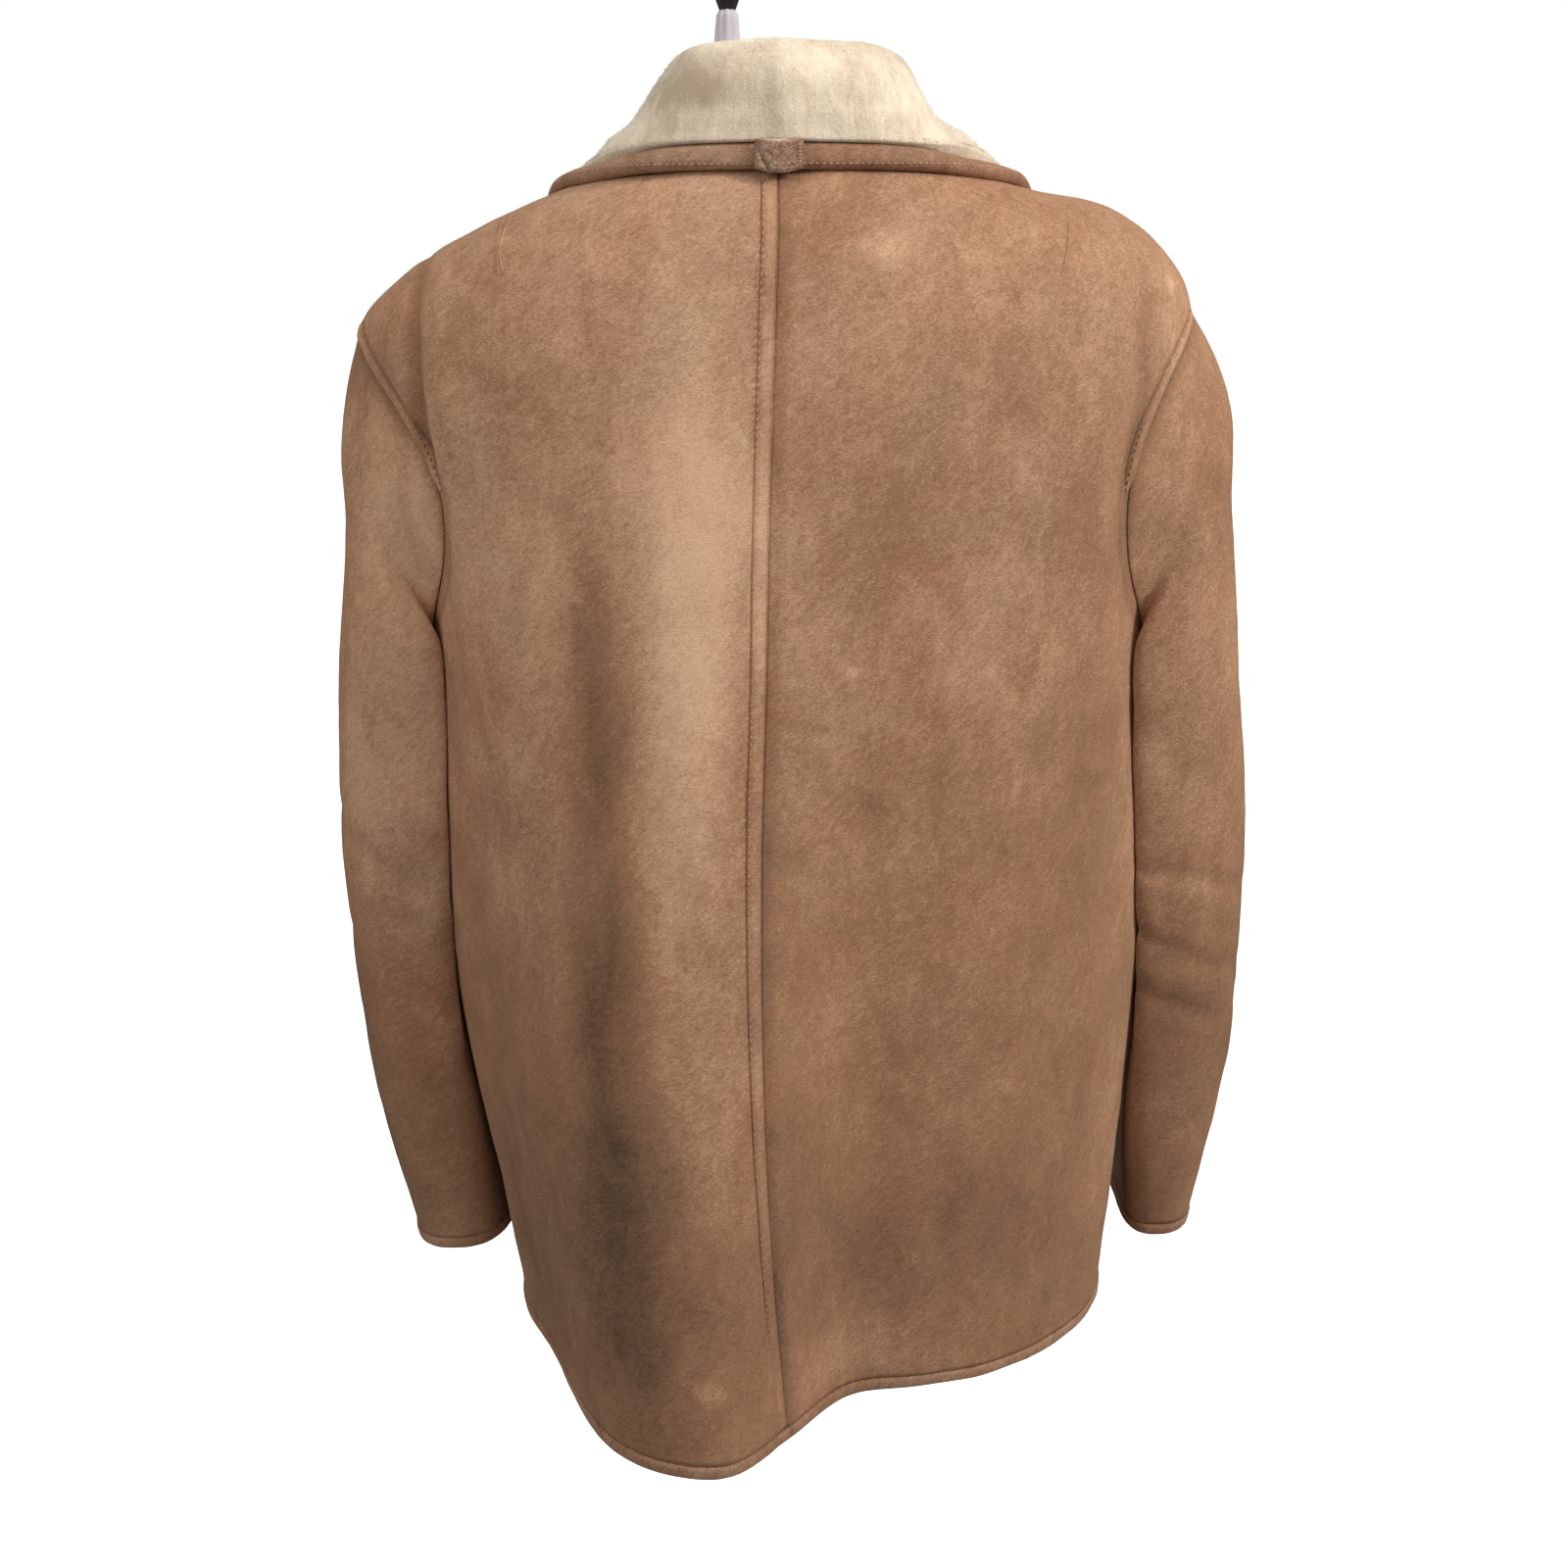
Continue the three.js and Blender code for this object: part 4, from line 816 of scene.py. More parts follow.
def cuff_binding(side):
    """The rolled edge of a cuff."""
    end = SLEEVE_END[side]
    phases = np.linspace(0, 360, 121)[:-1]
    rows = np.linspace(end, end - BINDING, 5)
    points = sleeve(side, phases, rows)
    normals = MIRROR[side] * grid_normals(points, ringed=True)
    sections = rolled(points, normals, SKIN, PROUD)
    tone = 0.05 + 0 * sections[..., 0]
    form = bar_mesh(sections, ringed=True)
    return piece(f"cuff_{side}_roll", form, [EDGE], tone, f"cuff_binding_{side}")


def sleeve_painted_light(side, wrapped, alongs, points, away):
    """How pale or dark a sleeve is painted: painted shade at its seams, low down and on two sides, painted
    light all over.
    """
    tones = SLEEVE_PAINTED_LIGHT[side]
    low = ease((-points[..., 2] - 320) / 300)
    shade = -0.14 * hill(away, SEAM_SHADE_AT, SEAM_SHADE_HALF) - tones["low"] * low
    shade = shade - tones["inner"] * ease((np.abs(wrapped) - 115) / 35)
    shade = shade - tones["outer"] * hill(wrapped, 0, 50)
    return shade - 0.5 * hill(alongs, 0, 3.5)[:, None] + tones["all"]


def sleeve_skin(phases, wrapped, alongs, points):
    """The thickness of a sleeve's skin, which thins where it lies close to the body."""
    next_to_back = 0.5 * hill(np.abs(wrapped), 120, 35) * (phases % 360 < 180)
    next_to_front = 0.55 * hill(phases % 360, 265, 40) * ease((420 - alongs) / 120)[:, None]
    thinner = (next_to_back + next_to_front) * ease(alongs / 60)[:, None]
    return SKIN * (1 - thinner) - wool_side(points)


def sleeve_pieces(side):
    """The upper and the under piece of a sleeve, and its cuff."""
    end = SLEEVE_END[side]
    cuff = cuff_binding(side)
    alongs = np.concatenate([[0, 0.5, 1.2, 2.4], even(4, end - BINDING - SEAM_GAP, 3.4)])
    parts = (("upper", UNDER_TO - 360, UNDER_FROM, 330), ("under", UNDER_FROM, UNDER_TO, 90))
    for part, first, last, width in parts:
        phases = first - SLEEVE_LAP_TURN + (last - first + 2 * SLEEVE_LAP_TURN) * edged(width, 3.6)
        wrapped = (phases + 180) % 360 - 180
        points = sleeve(side, phases, alongs)
        normals = -MIRROR[side] * grid_normals(points)
        away = np.minimum(edge_distance(points), alongs[:, None] * np.ones(len(phases)))
        relief = sleeve_relief(side, phases, alongs, points) * ease(away / RELIEF_FROM_EDGE)
        relief = relief - rounded(away, SLEEVE_SEAM_RADIUS)
        outer = points + normals * relief[..., None]
        inner = points - normals * sleeve_skin(phases, wrapped, alongs, points)[..., None]
        inner[0] = mitre(side, phases)
        shift = 0.3 * (points[1] - points[0])
        outer[0] += shift
        inner[0] += shift
        tone = on_outer(sleeve_painted_light(side, wrapped, alongs, points, away))
        form, node = wall_mesh(outer, inner), f"sleeve_{part}_{side}"
        obj = piece(f"{node}_suede", form, [SUEDE, LINING], tone, node)


# Stitches.


def stitches(name, path, normals, pitch, length, width, thread=THREAD):
    """A row of thread stitches along a path that lies on a surface."""
    run = np.concatenate([[0], np.cumsum(np.linalg.norm(np.diff(path, axis=0), axis=-1))])
    starts = np.arange(pitch / 2, run[-1] - length, pitch)
    rng = np.random.default_rng(len(name) + int(run[-1]))
    points, faces = [], []
    for s in starts:
        s = s + rng.uniform(-0.25, 0.25)
        ends = [np.array([np.interp(v, run, path[:, k]) for k in range(3)]) for v in (s, s + length)]
        up = unit(np.array([np.interp(s, run, normals[:, k]) for k in range(3)]))
        way = unit(ends[1] - ends[0])
        side = np.cross(way, up) * width / 2
        base = len(points)
        points.append(ends[0] - 0.3 * up)
        for t in (0.22, 0.78):
            centre = ends[0] + (ends[1] - ends[0]) * t + 0.12 * up
            points += [centre + side, centre + 0.45 * up, centre - side, centre - 0.45 * up]
        points.append(ends[1] - 0.3 * up)
        for k in range(4):
            a, b = base + 1 + k, base + 1 + (k + 1) % 4
            faces += [(base, b, a), (a, b, b + 4, a + 4), (base + 9, a + 4, b + 4)]
    return piece(name, (np.array(points), faces, None), [thread])


LAP_FADE = 5  # points over which a lap sinks in at its ends
# Painted shade along both edges of a lap and a painted highlight on its crest, one for each point of its
# section.
LAP_PAINTED_LIGHT = np.array([-0.9, -0.8, -0.45, 0.0, 0.12, -0.05, -0.6, -0.8])
BACK_OF_ARMHOLE = (84, 12)  # phases between which its lap shows


def lap(name, node, path_at, span, thick):
    """A lapped seam's raised edge. path_at(reach): points and normals at that distance from the seam."""
    shape = [(0.2, -1.2), (0, -0.3), (0.3, 0.5 * thick), (0.12 * span, thick), (0.5 * span, 1.1 * thick),
             (0.8 * span, 0.7 * thick), (span, -0.1), (span, -1.2)]
    sections = []
    for reach, out in shape:
        points, normals = path_at(reach)
        uneven = body_relief(points) * ease((reach + 0.5) / RELIEF_FROM_EDGE)
        place = np.arange(len(points))
        if out > 0.2:
            fade = ease((np.minimum(place, place[::-1]) + 0.5) / LAP_FADE)
            uneven = uneven + 0.3 * noise_at(points, 18, 11)
            out = (out + 0.3) * fade - 0.3
        sections.append(points + normals * np.reshape(out + uneven, (-1, 1)))
    sections = np.array(sections).transpose(1, 0, 2)
    return piece(name, bar_mesh(sections), [SUEDE], nap_and_painted_light(sections) + LAP_PAINTED_LIGHT, node)


def beside_back_seam(reach):
    """Points and normals along the centre back seam, at that distance from it."""
    at = even(BINDING + 1, NECK_AT - 4, 3)
    turn = back_seam_turn(at) + 0.1
    edge = body(turn, at)
    along = unit(np.gradient(edge, axis=0))
    normal = body_normal(body, turn, at)
    sideways = unit(np.cross(along, normal))
    return edge + sideways * reach * np.sign(sideways[:, :1]), normal


def back_places(places):
    """Points and normals of the back at each (x, z)."""
    ats = np.linspace(UNDERARM_AT, NECK_AT - 20, 200)
    points, normals = [], []
    for x, z in places:
        turns = turn_at_x(x, ats, False)
        at = np.interp(z, body(turns, ats)[:, 2], ats)
        turn = float(turn_at_x(x, at, False))
        points.append(body(turn, at))
        normals.append(body_normal(body, turn, at))
    return np.array(points), np.array(normals)


# A section of a dart, as shares of its width and height.
DART_SECTION = ((-0.6, -1.6), (-0.5, 0.1), (-0.2, 0.8), (0.15, 1.0), (0.4, 0.6), (0.6, -1.6))


def dart(name, places, wide, high):
    """A short sewn fold that fades out at its lower end."""
    keys = np.linspace(0, 1, len(places))
    run = np.linspace(0, 1, 24)
    points, normals = back_places(through(keys, places, run))
    way = unit(np.gradient(points, axis=0))
    side = unit(np.cross(way, normals))
    fade = np.minimum(1, 2.5 * (1 - run) + 0.15)[:, None]
    relief = body_relief(points)[:, None]
    sections = [points + side * across * wide * fade + normals * (out * high * fade + relief)
                for across, out in DART_SECTION]
    sections = np.array(sections).transpose(1, 0, 2)
    return piece(name, bar_mesh(sections), [SUEDE], nap_and_painted_light(sections) - 0.02)


def slide(turn, at, way):
    """Where a point of the body comes to lie when it is moved by way along the surface."""
    by_turn = (body(turn + 0.2, at) - body(turn - 0.2, at)) / 0.4
    by_at = (body(turn, at + 0.5) - body(turn, at - 0.5)) / 1.0
    a, b, c = (by_turn * by_turn).sum(-1), (by_turn * by_at).sum(-1), (by_at * by_at).sum(-1)
    p, q = (by_turn * way).sum(-1), (by_at * way).sum(-1)
    area = a * c - b * b
    return turn + (p * c - q * b) / area, at + (q * a - p * b) / area


def beside_armhole(side):
    """Gives the same beside the back of an armhole."""
    def place(reach):
        phases = even(*BACK_OF_ARMHOLE, 2)
        turn, at = armhole_turn(side, phases), armhole_at(phases)
        edge = body(turn, at)
        normal = body_normal(body, turn, at)
        inward = unit(np.cross(unit(np.gradient(edge, axis=0)), normal))
        inward = inward * np.sign(-MIRROR[side] * inward[:, :1])
        half_way = slide(turn, at, inward * (reach + 0.5) / 2)
        turn, at = slide(*half_way, inward * (reach + 0.5) / 2)
        return body(turn, at), body_normal(body, turn, at)

    return place


# The collar.

LIES_FROM, LIES_TO = 3, 6  # stations between which the collar turns from standing to lying
THIN_FROM, THIN_LESS = 7.5, 0.35  # it is thinner by this share at its front ends
BAND_FROM = 0.75  # the binding lies beyond this share of the way across
STAND_LEAN, STAND_HIGH = 0.8, 0.55
ROLL_INSIDE, ROLL_OUTSIDE = 0.85, 0.84
CENTRE_STATION = 0.006  # half of the centre seam's gap
WOOL_STOPS = 0.006  # before the binding, as a share of the way across
WOOL_FALLS = 22  # the wool gets lower over this distance from the binding
COLLAR_RUN = 150  # the way across the collar, about


def surface_at(turn):
    """The front that the collar lies on there."""
    return right_front if turn < -NECK_OPEN_TURN else body


def collar_seam(k, mirror):
    """Where the collar is sewn on at a station."""
    row = COLLAR_STATIONS[k]
    turn = mirror * float(row[0] if k < NECK_STATIONS else front_edge_turn(np.array(float(row[1]))))
    surface = surface_at(turn)
    return surface(turn, row[1]), body_normal(surface, turn, row[1])


def collar_across(k, mirror):
    """The seven points across the collar at a station."""
    _, _, edge_turn, edge_at, roll_in, roll_up, fall_out, bulge = COLLAR_STATIONS[k]
    seam, normal = collar_seam(k, mirror)
    before = collar_seam(max(k - 1, 0), mirror)[0]
    after = collar_seam(min(k + 1, LAST_STATION), mirror)[0]
    way = np.array([mirror, 0, 0]) if k == 0 else unit(after - before)
    lie = ease((k - LIES_FROM) / (LIES_TO - LIES_FROM))
    up = (1 - lie) * np.array([0, 0, 1]) + lie * normal
    up = unit(up - way * up.dot(way))
    out = unit(np.cross(way, up) * -mirror)
    surface = surface_at(mirror * edge_turn)
    lift = body_normal(surface, mirror * edge_turn, edge_at) * COLLAR_LIFT
    edge = surface(mirror * edge_turn, edge_at) + lift
    high = roll_up - COLLAR_SKIN
    over = seam + out * (fall_out - roll_in) + up * ROLL_OUTSIDE * high
    half = (over + edge) / 2 + unit(out + up) * bulge
    return [
        seam + up * COLLAR_SEAM_GAP,
        seam - out * STAND_LEAN * roll_in + up * STAND_HIGH * high,
        seam - out * roll_in + up * ROLL_INSIDE * high,
        seam + out * (fall_out / 2 - roll_in) + up * high,
        over,
        half,
        edge,
    ]


ACROSS_KEYS = [0, 0.22, 0.34, 0.42, 0.5, BAND_FROM, 1]
COLLAR_POINTS = {side: np.array([collar_across(k, mirror) for k in range(len(COLLAR_STATIONS))])
                 for side, mirror in MIRROR.items()}


def collar(side, stations, across):
    """Points of the collar's suede side: a row for each station."""
    along = np.clip(stations, 0, LAST_STATION)
    curves = through(np.arange(len(COLLAR_STATIONS)), COLLAR_POINTS[side], along)
    return np.array([through(ACROSS_KEYS, curve, row) for curve, row in zip(curves, across)])


def collar_normals(side, stations, across):
    """Outward from the collar's wool."""
    d = 0.01
    s, a = np.clip(stations, d, LAST_STATION - d), np.clip(across, d, 1 - d)
    along = collar(side, s + d, a) - collar(side, s - d, a)
    over = collar(side, s, a + d) - collar(side, s, a - d)
    return unit(np.cross(along, over)) * MIRROR[side]


def binding_start(side, stations):
    """The share of the way across at which the binding starts."""
    ends = collar(side, stations, np.tile([BAND_FROM, 1.0], (len(stations), 1)))
    return 1 - (1 - BAND_FROM) * COLLAR_BINDING / np.linalg.norm(ends[:, 1] - ends[:, 0], axis=-1)


def collar_thin(stations):
    """The share of its full thickness that the wool has at each station."""
    return (1 - THIN_LESS * ease((stations - THIN_FROM) / (LAST_STATION - THIN_FROM)))[:, None]


def collar_wool(side, stations, start):
    """The wool side of half a collar. Returns it, and the points of its suede side."""
    share = np.concatenate([np.linspace(0, 0.97, 58), [0.985, 0.995, 1]])[None, :]
    across = share * (start - WOOL_STOPS)[:, None]
    points, normals = collar(side, stations, across), collar_normals(side, stations, across)
    centre = hill(points[..., 0], 0, 1.6) * (stations < 1)[:, None]
    locks = 0.3 * noise_at(points * [1, 1, 0.45], 8, 12) + 0.12 * noise_at(points * [1, 1, 0.6], 3.5, 13)
    thick = COLLAR_PILE * collar_thin(stations) + 0.9 * noise_at(points, 32, 14) + locks - 0.2 * centre
    at_back = ease((points[..., 1] + 20) / 40)
    for x0, z0, half_x, half_z, amount in COLLAR_SWELLS:
        thick = thick + at_back * amount * near(points, x0, z0, half_x, half_z)
    at_edge = (1 - share) * start[:, None] * COLLAR_RUN
    thick = thick - 2.4 * ease(1 - at_edge / WOOL_FALLS) - rounded(at_edge, 1.2)
    outer = points + normals * thick[..., None]
    for row in (outer[0], points[0]):
        row[:, 0] = -MIRROR[side] * SEAM_OVERLAP
    tone = 0.22 * noise_at(points, 24, 15) + 0.1 * centre + 0.12 * noise_at(points * [1, 1, 0.25], 6, 16)
    for x0, z0, half_x, half_z, amount in COLLAR_SPOTS_AND_SHADE:
        tone += amount * near(points, x0, z0, half_x, half_z)
    form, both = wall_mesh(outer, points), np.concatenate([tone.ravel(), tone.ravel()])
    wool = piece(f"collar_{side}_wool", form, [WOOL, SUEDE], both, f"collar_{side}")
    wool.data.set_sharp_from_angle(angle=math.radians(60))
    wool_tufts(f"collar_{side}_tufts", outer, normals, tone, 9000)
    wool_tufts(f"collar_{side}_fringe", outer[:, -6:], normals[:, -6:], tone[:, -6:], 2600)
    return wool, points


def collar_band(side, stations, start):
    """The binding of half a collar, and the stitches along it."""
    share = np.linspace(0, 1, 7)[None, :]
    across = 1 - share * (1 - start)[:, None]
    points, normals = collar(side, stations, across), collar_normals(side, stations, across)
    wave = 0.5 * noise_at(points, 26, 17)
    points = points + normals * wave[..., None]
    sections = rolled(points.transpose(1, 0, 2), normals.transpose(1, 0, 2), BAND_IN, BAND_OUT - 0.5)
    form, tone = bar_mesh(sections), 0.08 + 0 * sections[..., 0]
    band = piece(f"collar_band_{side}", form, [EDGE], tone, f"collar_binding_{side}")
    row = points[:, 1] + normals[:, 1] * (BAND_OUT - 1.1)
    return [band, stitches(f"collar_band_{side}_stitches", row, normals[:, 1], 3.5, 2.1, 0.7)]


def collar_pieces(side):
    """Half of the collar: its wool and its binding."""
    stations = np.concatenate([[CENTRE_STATION, 0.02, 0.05], np.linspace(0.09, LAST_STATION, 190)])
    start = binding_start(side, stations)
    wool, cloth = collar_wool(side, stations, start)
    band = collar_band(side, stations, start)


def wool_tufts(name, surface, normals, tone, count):
    """Small bent locks of wool standing out of the pile."""
    rng = np.random.default_rng(count + len(name))
    rows, columns = surface.shape[:2]
    i, j = rng.integers(2, rows - 2, count), rng.integers(2, columns - 2, count)
    blend = rng.random((count, 1))
    root = surface[i, j] * blend + surface[i + 1, j + 1] * (1 - blend) - 0.8 * normals[i, j]
    up = normals[i, j]
    lay = unit(np.cross(up, unit(rng.normal(0, 1, (count, 3)))) + 0.9 * np.array([0, 0, 1.0]))
    long, thick = rng.uniform(0.9, 1.9, (count, 1)), rng.uniform(0.16, 0.3, (count, 1))
    side = unit(np.cross(up, lay))
    ring1, ring2 = root, root + 0.5 * long * unit(up + 0.3 * lay)
    tip = ring2 + 0.6 * long * unit(0.35 * up + lay)
    third = unit(np.cross(side, up))
    corners = [thick * side, thick * (-0.5 * side + 0.87 * third), thick * (-0.5 * side - 0.87 * third)]
    points = np.stack([ring1 + c for c in corners] + [ring2 + 0.8 * c for c in corners] + [tip], axis=1)
    base = 7 * np.arange(count)[:, None]
    corner_sets = [(0, 1, 4, 3), (1, 2, 5, 4), (2, 0, 3, 5), (0, 2, 1), (3, 4, 6), (4, 5, 6), (5, 3, 6)]
    faces = [list(f) for corner_set in corner_sets for f in base + np.array(corner_set)]
    tuft_tone = np.repeat(tone[i, j] + rng.normal(0, 0.18, count), 7)
    piece(name, (points.reshape(-1, 3), faces, None), [WOOL], tuft_tone)


LOOP_WIDE, LOOP_LONG, LOOP_THICK = 26, 18, 2
LOOP_HIGH = 14.5  # of its top over the collar's edge
LOOP_X = 2  # how far it sits to the left of the centre
LOOP_EDGE = 1.6  # radius of its rounded edges


def hanging_loop():
    """A flat strap over the binding at the centre back, tacked down at its foot and one side."""
    centre = np.array([0.0])
    edge = collar("left", centre, np.array([[1.0]]))[0, 0]
    start = binding_start("left", centre)[0]
    up = unit(collar("left", centre, np.array([[start]]))[0, 0] - edge)
    out = collar_normals("left", centre, np.array([[0.95]]))[0, 0]
    h, t = np.linspace(0, 1, 22)[:, None], np.linspace(0, 1, 30)[None, :]
    x = (t - 0.5) * LOOP_WIDE + 0 * h
    arch = 1 - (2 * t - 1) ** 2
    stand = BAND_OUT - 0.8 + 1.7 * arch * (0.5 + 0.5 * (1 - h)) - 0.0045 * (x + LOOP_X) ** 2
    sag = (1 - h) * -2.8 * arch + h * LOOP_HIGH
    from_side, from_end = np.minimum(t, 1 - t) * LOOP_WIDE, np.minimum(h, 1 - h) * LOOP_LONG
    soft = rounded(from_side, LOOP_EDGE) + rounded(from_end, LOOP_EDGE)
    crease = -1.7 * hill(x - 6 - 0.5 * sag, 0, 1.3) - 0.5 * hill(x, -7, 2.5)
    base = edge + np.array([LOOP_X, 0, 0]) + np.stack([x, 0 * x, 0 * x], -1) + sag[..., None] * up
    uneven = 0.35 * noise_at(base, 7, 18) + 0.2 * noise_at(base, 2.5, 19)
    outer = base + (stand + LOOP_THICK - soft + crease + uneven)[..., None] * out
    inner = base + (stand + 0.2 * soft)[..., None] * out
    points, faces, _ = wall_mesh(outer, inner)
    worn = 0.7 * hill(h, 1, 0.09) * hill(t, 0.45, 0.3)
    form, tone = (points, faces, None), on_outer(worn + 0.02)
    strap = piece("hanging_loop_strap", form, [LOOP_SUEDE], tone, "hanging_loop")
    tack, foot = outer[3:20, 2] + 0.1 * out, outer[5, 2:20] + 0.1 * out
    stitches("loop_tack", tack, np.tile(out, (len(tack), 1)), 1.7, 1.4, 1.1)
    stitches("loop_foot_stitches", foot, np.tile(out, (len(foot), 1)), 3.5, 2.1, 0.7)


# Buttons and the hanger.

BUTTON_CLEAR = 0.25  # between a button and the suede under it
# Half a section of a button, as radius and height: its back, its rim and its dish.
BUTTON_SECTION = [
    (0.01, 0), (9, 0), (12.5, 0.7), (13.8, 2.0), (13.9, 3.4), (13.2, 4.6),
    (11.8, 5.0), (10.4, 4.6), (9.0, 3.7), (5.5, 3.3), (0.01, 3.2),
]
HOLE_ANGLES = np.radians([45, 135, 225, 315])
HOLE_OUT, HOLE_RADIUS = 3.6, 1.1  # where the holes are, from the button's middle
HOLE_HEIGHTS = (1.2, 8)
THREAD_HEIGHT = 3.5


def button(name, at):
    """A button with four holes, and a crossed thread through them."""
    turn = turn_at_x(0.0, np.array(float(at)), True)
    normal = body_normal(body, turn, at)
    low = body(turn, at) + BUTTON_CLEAR * normal
    side = unit(np.cross(normal, [0, 0, 1]))
    up = np.cross(side, normal)

    def spoke(angle, radius):
        return radius * (math.cos(angle) * side + math.sin(angle) * up)

    angles = np.linspace(0, 2 * math.pi, 49)[:-1]
    sections = np.array([[low + h * normal + spoke(a, r) for r, h in BUTTON_SECTION] for a in angles])
    disc = piece(f"{name}_disc", bar_mesh(sections, ringed=True), [HORN])
    points, faces = np.zeros((0, 3)), []
    for a in HOLE_ANGLES:
        centre = low + spoke(a, HOLE_OUT)
        ring_at = [centre + spoke(b, HOLE_RADIUS) for b in angles[::3]]
        bar = bar_mesh(np.array([[p + h * normal for p in ring_at] for h in HOLE_HEIGHTS]))
        faces += [[v + len(points) for v in face] for face in bar[1]]
        points = np.concatenate([points, bar[0]])
    cutter = piece(f"{name}_holes", (points, faces, None), [HORN])
    modifier = disc.modifiers.new("holes", "BOOLEAN")
    modifier.object = cutter
    modifier.operation = "DIFFERENCE"
    bpy.context.view_layer.update()
    graph = bpy.context.evaluated_depsgraph_get()
    holed = bpy.data.meshes.new_from_object(disc.evaluated_get(graph))
    disc.modifiers.clear()
    disc.data = holed
    bpy.data.objects.remove(cutter)
    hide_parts(name)
    corners = [low + THREAD_HEIGHT * normal + spoke(a, HOLE_OUT) for a in HOLE_ANGLES]
    for n in range(2):
        path = np.array([corners[n], corners[n + 2]])
        stitches(f"{name}_thread_{n + 1}", path, np.array([normal] * 2), 1, 6.4, 1.0)


NECK_FOOT, NECK_TOP = -5.7, 75.7
NECK_HEIGHTS, NECK_RADII = [-6, 20, 52, 73, NECK_TOP], [9, 8.2, 8.2, 5.9, 4.2]


def hanger_neck():
    """The hanger's covered neck, with soft gathers near its top."""
    angles = np.linspace(0, 2 * math.pi, 65)[:-1]
    heights = np.linspace(NECK_FOOT, NECK_TOP, 60)
    radius = np.interp(heights, NECK_HEIGHTS, NECK_RADII)
    ring_x, ring_y = HOOK_X + radius[:, None] * np.cos(angles), HOOK_Y + radius[:, None] * np.sin(angles)
    ring_points = np.stack([ring_x, ring_y, heights[:, None] + 0 * angles], -1)
    middle = np.array([HOOK_X, HOOK_Y, 0]) + np.array([0, 0, 1]) * heights[:, None, None]
    outward = unit(ring_points - middle)
    gather = 0.35 * np.sin(9 * angles)[None, :] * ease((heights - 50) / 20)[:, None]
    ring_points += outward * (gather + 0.35 * noise_at(ring_points, 9, 20))[..., None]
    neck = piece("hanger_neck_cover", bar_mesh(ring_points), [CLOTH], node="hanger_neck")


def carried(node, material):
    """The CAD's own mesh of a node, in this material."""
    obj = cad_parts[node]
    obj.data.materials.clear()
    obj.data.materials.append(material)


# The whole coat.

ARMHOLE_LAP, BACK_LAP = (8, 2.4), (9, 0.7)  # how wide the laps are, and how far they stand out
STITCHED_END = 6  # points of the armhole seam left unstitched at the shoulder tip
DARTS = {
    "back_left": [
        ("dart_left_outer", [(157, -36), (156, -54), (154, -72)], 1.8, 0.55),
        ("dart_left_inner", [(152, -36), (155, -54), (151, -69)], 1.6, 0.5),
    ],
    "back_right": [("dart_right", [(-155, -40), (-152, -60), (-145, -84)], 1.6, 0.5)],
}


def sewing():
    """The laps, stitches and darts on each panel."""
    on_panels = {name: [] for name in PANELS}
    for side in MIRROR:
        path_at = beside_armhole(side)
        path, normals = (places[:-STITCHED_END] for places in path_at(6.5))
        path = path + 0.5 * normals
        on_panels[f"back_{side}"] += [
            lap(f"armhole_lap_{side}", f"armhole_seam_{side}", path_at, *ARMHOLE_LAP),
            stitches(f"armhole_stitches_{side}", path, normals, 4.4, 2.2, 0.6, DARK_THREAD),
        ]
    path, normals = beside_back_seam(7.6)
    on_panels["back_left"] += [
        lap("back_seam_lap", "back_seam", beside_back_seam, *BACK_LAP),
        stitches("back_seam_stitches", path + 0.3 * normals, normals, 4.4, 2.6, 0.6),
    ]
    for panel_name, darts in DARTS.items():
        on_panels[panel_name] += [dart(*sizes) for sizes in darts]
    return on_panels


for panel_name, on_it in sewing().items():
    panel(panel_name, on_it + [hem_binding(panel_name)])
for a_side in MIRROR:
    sleeve_pieces(a_side)
    collar_pieces(a_side)
hanging_loop()
for number, button_at in enumerate(BUTTON_AT, 1):
    button(f"button_{number}", button_at)
hanger_neck()
carried("hanger_bar", CLOTH)
carried("hanger_hook", METAL)

# The stage, in metres.

ROOM_LIGHT = 0.34
FLOOR_AT, FLOOR_HALF = -1.9, 40
LIT_POINT = (-0.03, 0.0, -0.5)
CAMERA_PLACE = (-0.032, 1.025, -0.2235)
CAMERA_DOWN = 16.5  # degrees
CAMERA_LENS = 38.25
CAMERA_SENSOR = 36


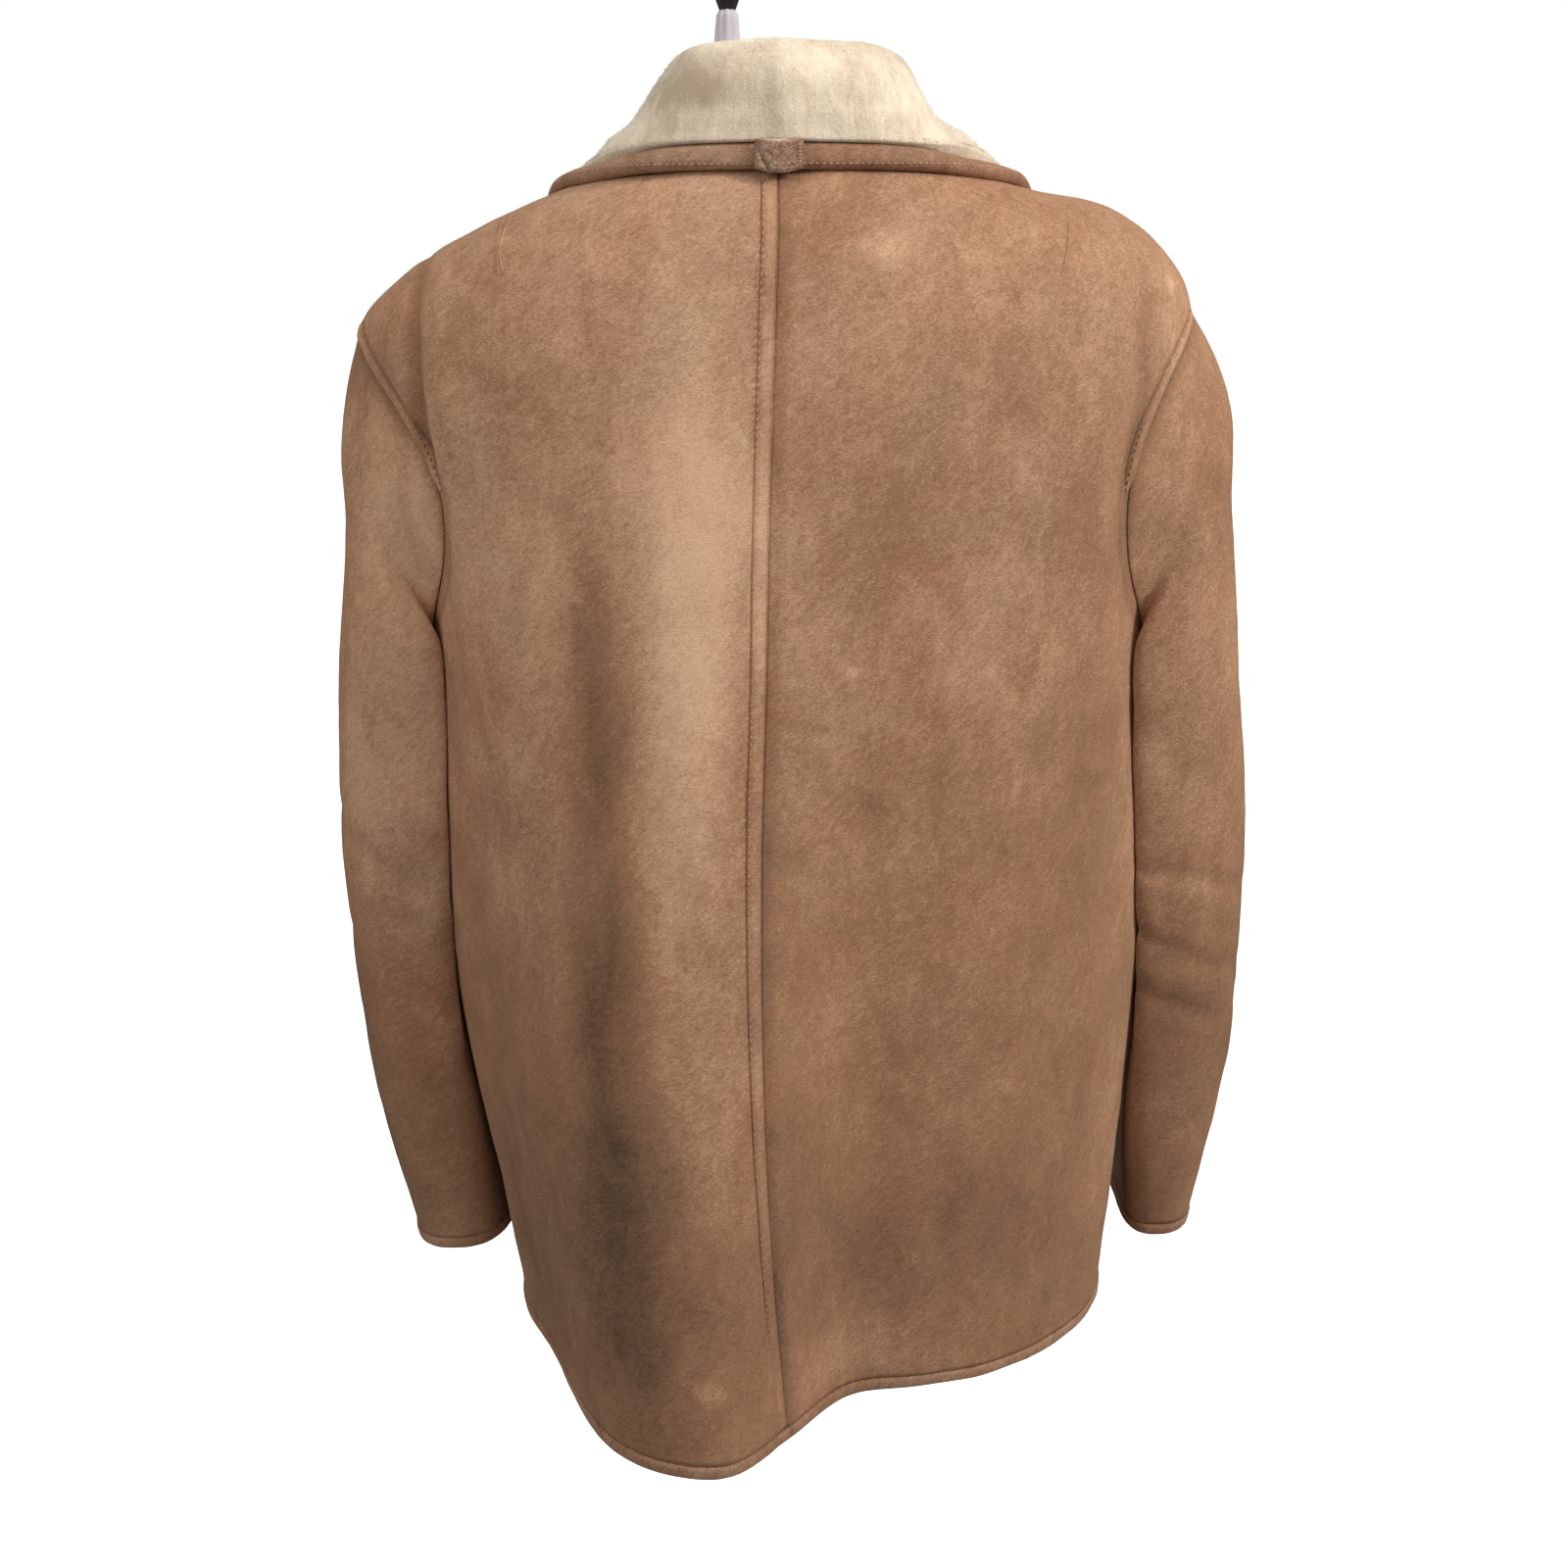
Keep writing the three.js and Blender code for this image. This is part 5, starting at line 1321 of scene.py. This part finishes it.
def light(name, place, size, power):
    """A soft lamp that points at the coat."""
    lamp = bpy.data.lights.new(name, "AREA")
    lamp.size, lamp.energy = size, power
    obj = bpy.data.objects.new(name, lamp)
    obj.location = place
    aim = Vector(LIT_POINT) - Vector(place)
    obj.rotation_euler = aim.to_track_quat("-Z", "Y").to_euler()
    bpy.context.scene.collection.objects.link(obj)


light("key", (-2.1, 1.0, 1.0), 0.6, 54)
light("top", (-0.2, 0.9, 1.9), 1.0, 13)
light("fill", (1.9, 1.3, 0.9), 1.4, 19)
light("front", (0.5, -2.2, 0.6), 1.6, 22)

# A white room: as bright as paper where it is seen, dimmer in the light it sheds.
world = bpy.data.worlds.new("white")
world.use_nodes = True
background = world.node_tree.nodes["Background"]
background.inputs["Color"].default_value = (1, 1, 1, 1)
seen = world.node_tree.nodes.new("ShaderNodeLightPath").outputs["Is Camera Ray"]
strength = world.node_tree.nodes.new("ShaderNodeMapRange")
world.node_tree.links.new(seen, strength.inputs["Value"])
strength.inputs["To Min"].default_value = ROOM_LIGHT
strength.inputs["To Max"].default_value = 1.0
world.node_tree.links.new(strength.outputs["Result"], background.inputs["Strength"])
bpy.context.scene.world = world
bpy.context.scene.view_settings.view_transform = "Standard"

# The floor is as white as the room, and sheds no light of its own on the coat.
floor_mesh = bpy.data.meshes.new("floor")
floor_corners = [(FLOOR_HALF * x, FLOOR_HALF * y, FLOOR_AT) for x, y in ((-1, -1), (1, -1), (1, 1), (-1, 1))]
floor_mesh.from_pydata(floor_corners, [], [(0, 1, 2, 3)])
floor = bpy.data.objects.new("floor", floor_mesh)
floor_mesh.materials.append(plain("floor_white", (0.8, 0.8, 0.8, 1), 0.9, spread=0.0))
floor_shader = floor_mesh.materials[0].node_tree.nodes["Principled BSDF"]
floor_shader.inputs["Emission Color"].default_value = (1, 1, 1, 1)
floor_shader.inputs["Emission Strength"].default_value = 1.0
floor.visible_diffuse = False
floor.visible_glossy = False
bpy.context.scene.collection.objects.link(floor)

camera = bpy.data.cameras.new("camera")
camera.lens, camera.sensor_width = CAMERA_LENS, CAMERA_SENSOR
camera_object = bpy.data.objects.new("camera", camera)
camera_object.location = CAMERA_PLACE
camera_object.rotation_euler = (math.radians(90 - CAMERA_DOWN), 0, math.radians(180))
bpy.context.scene.collection.objects.link(camera_object)
bpy.context.scene.camera = camera_object
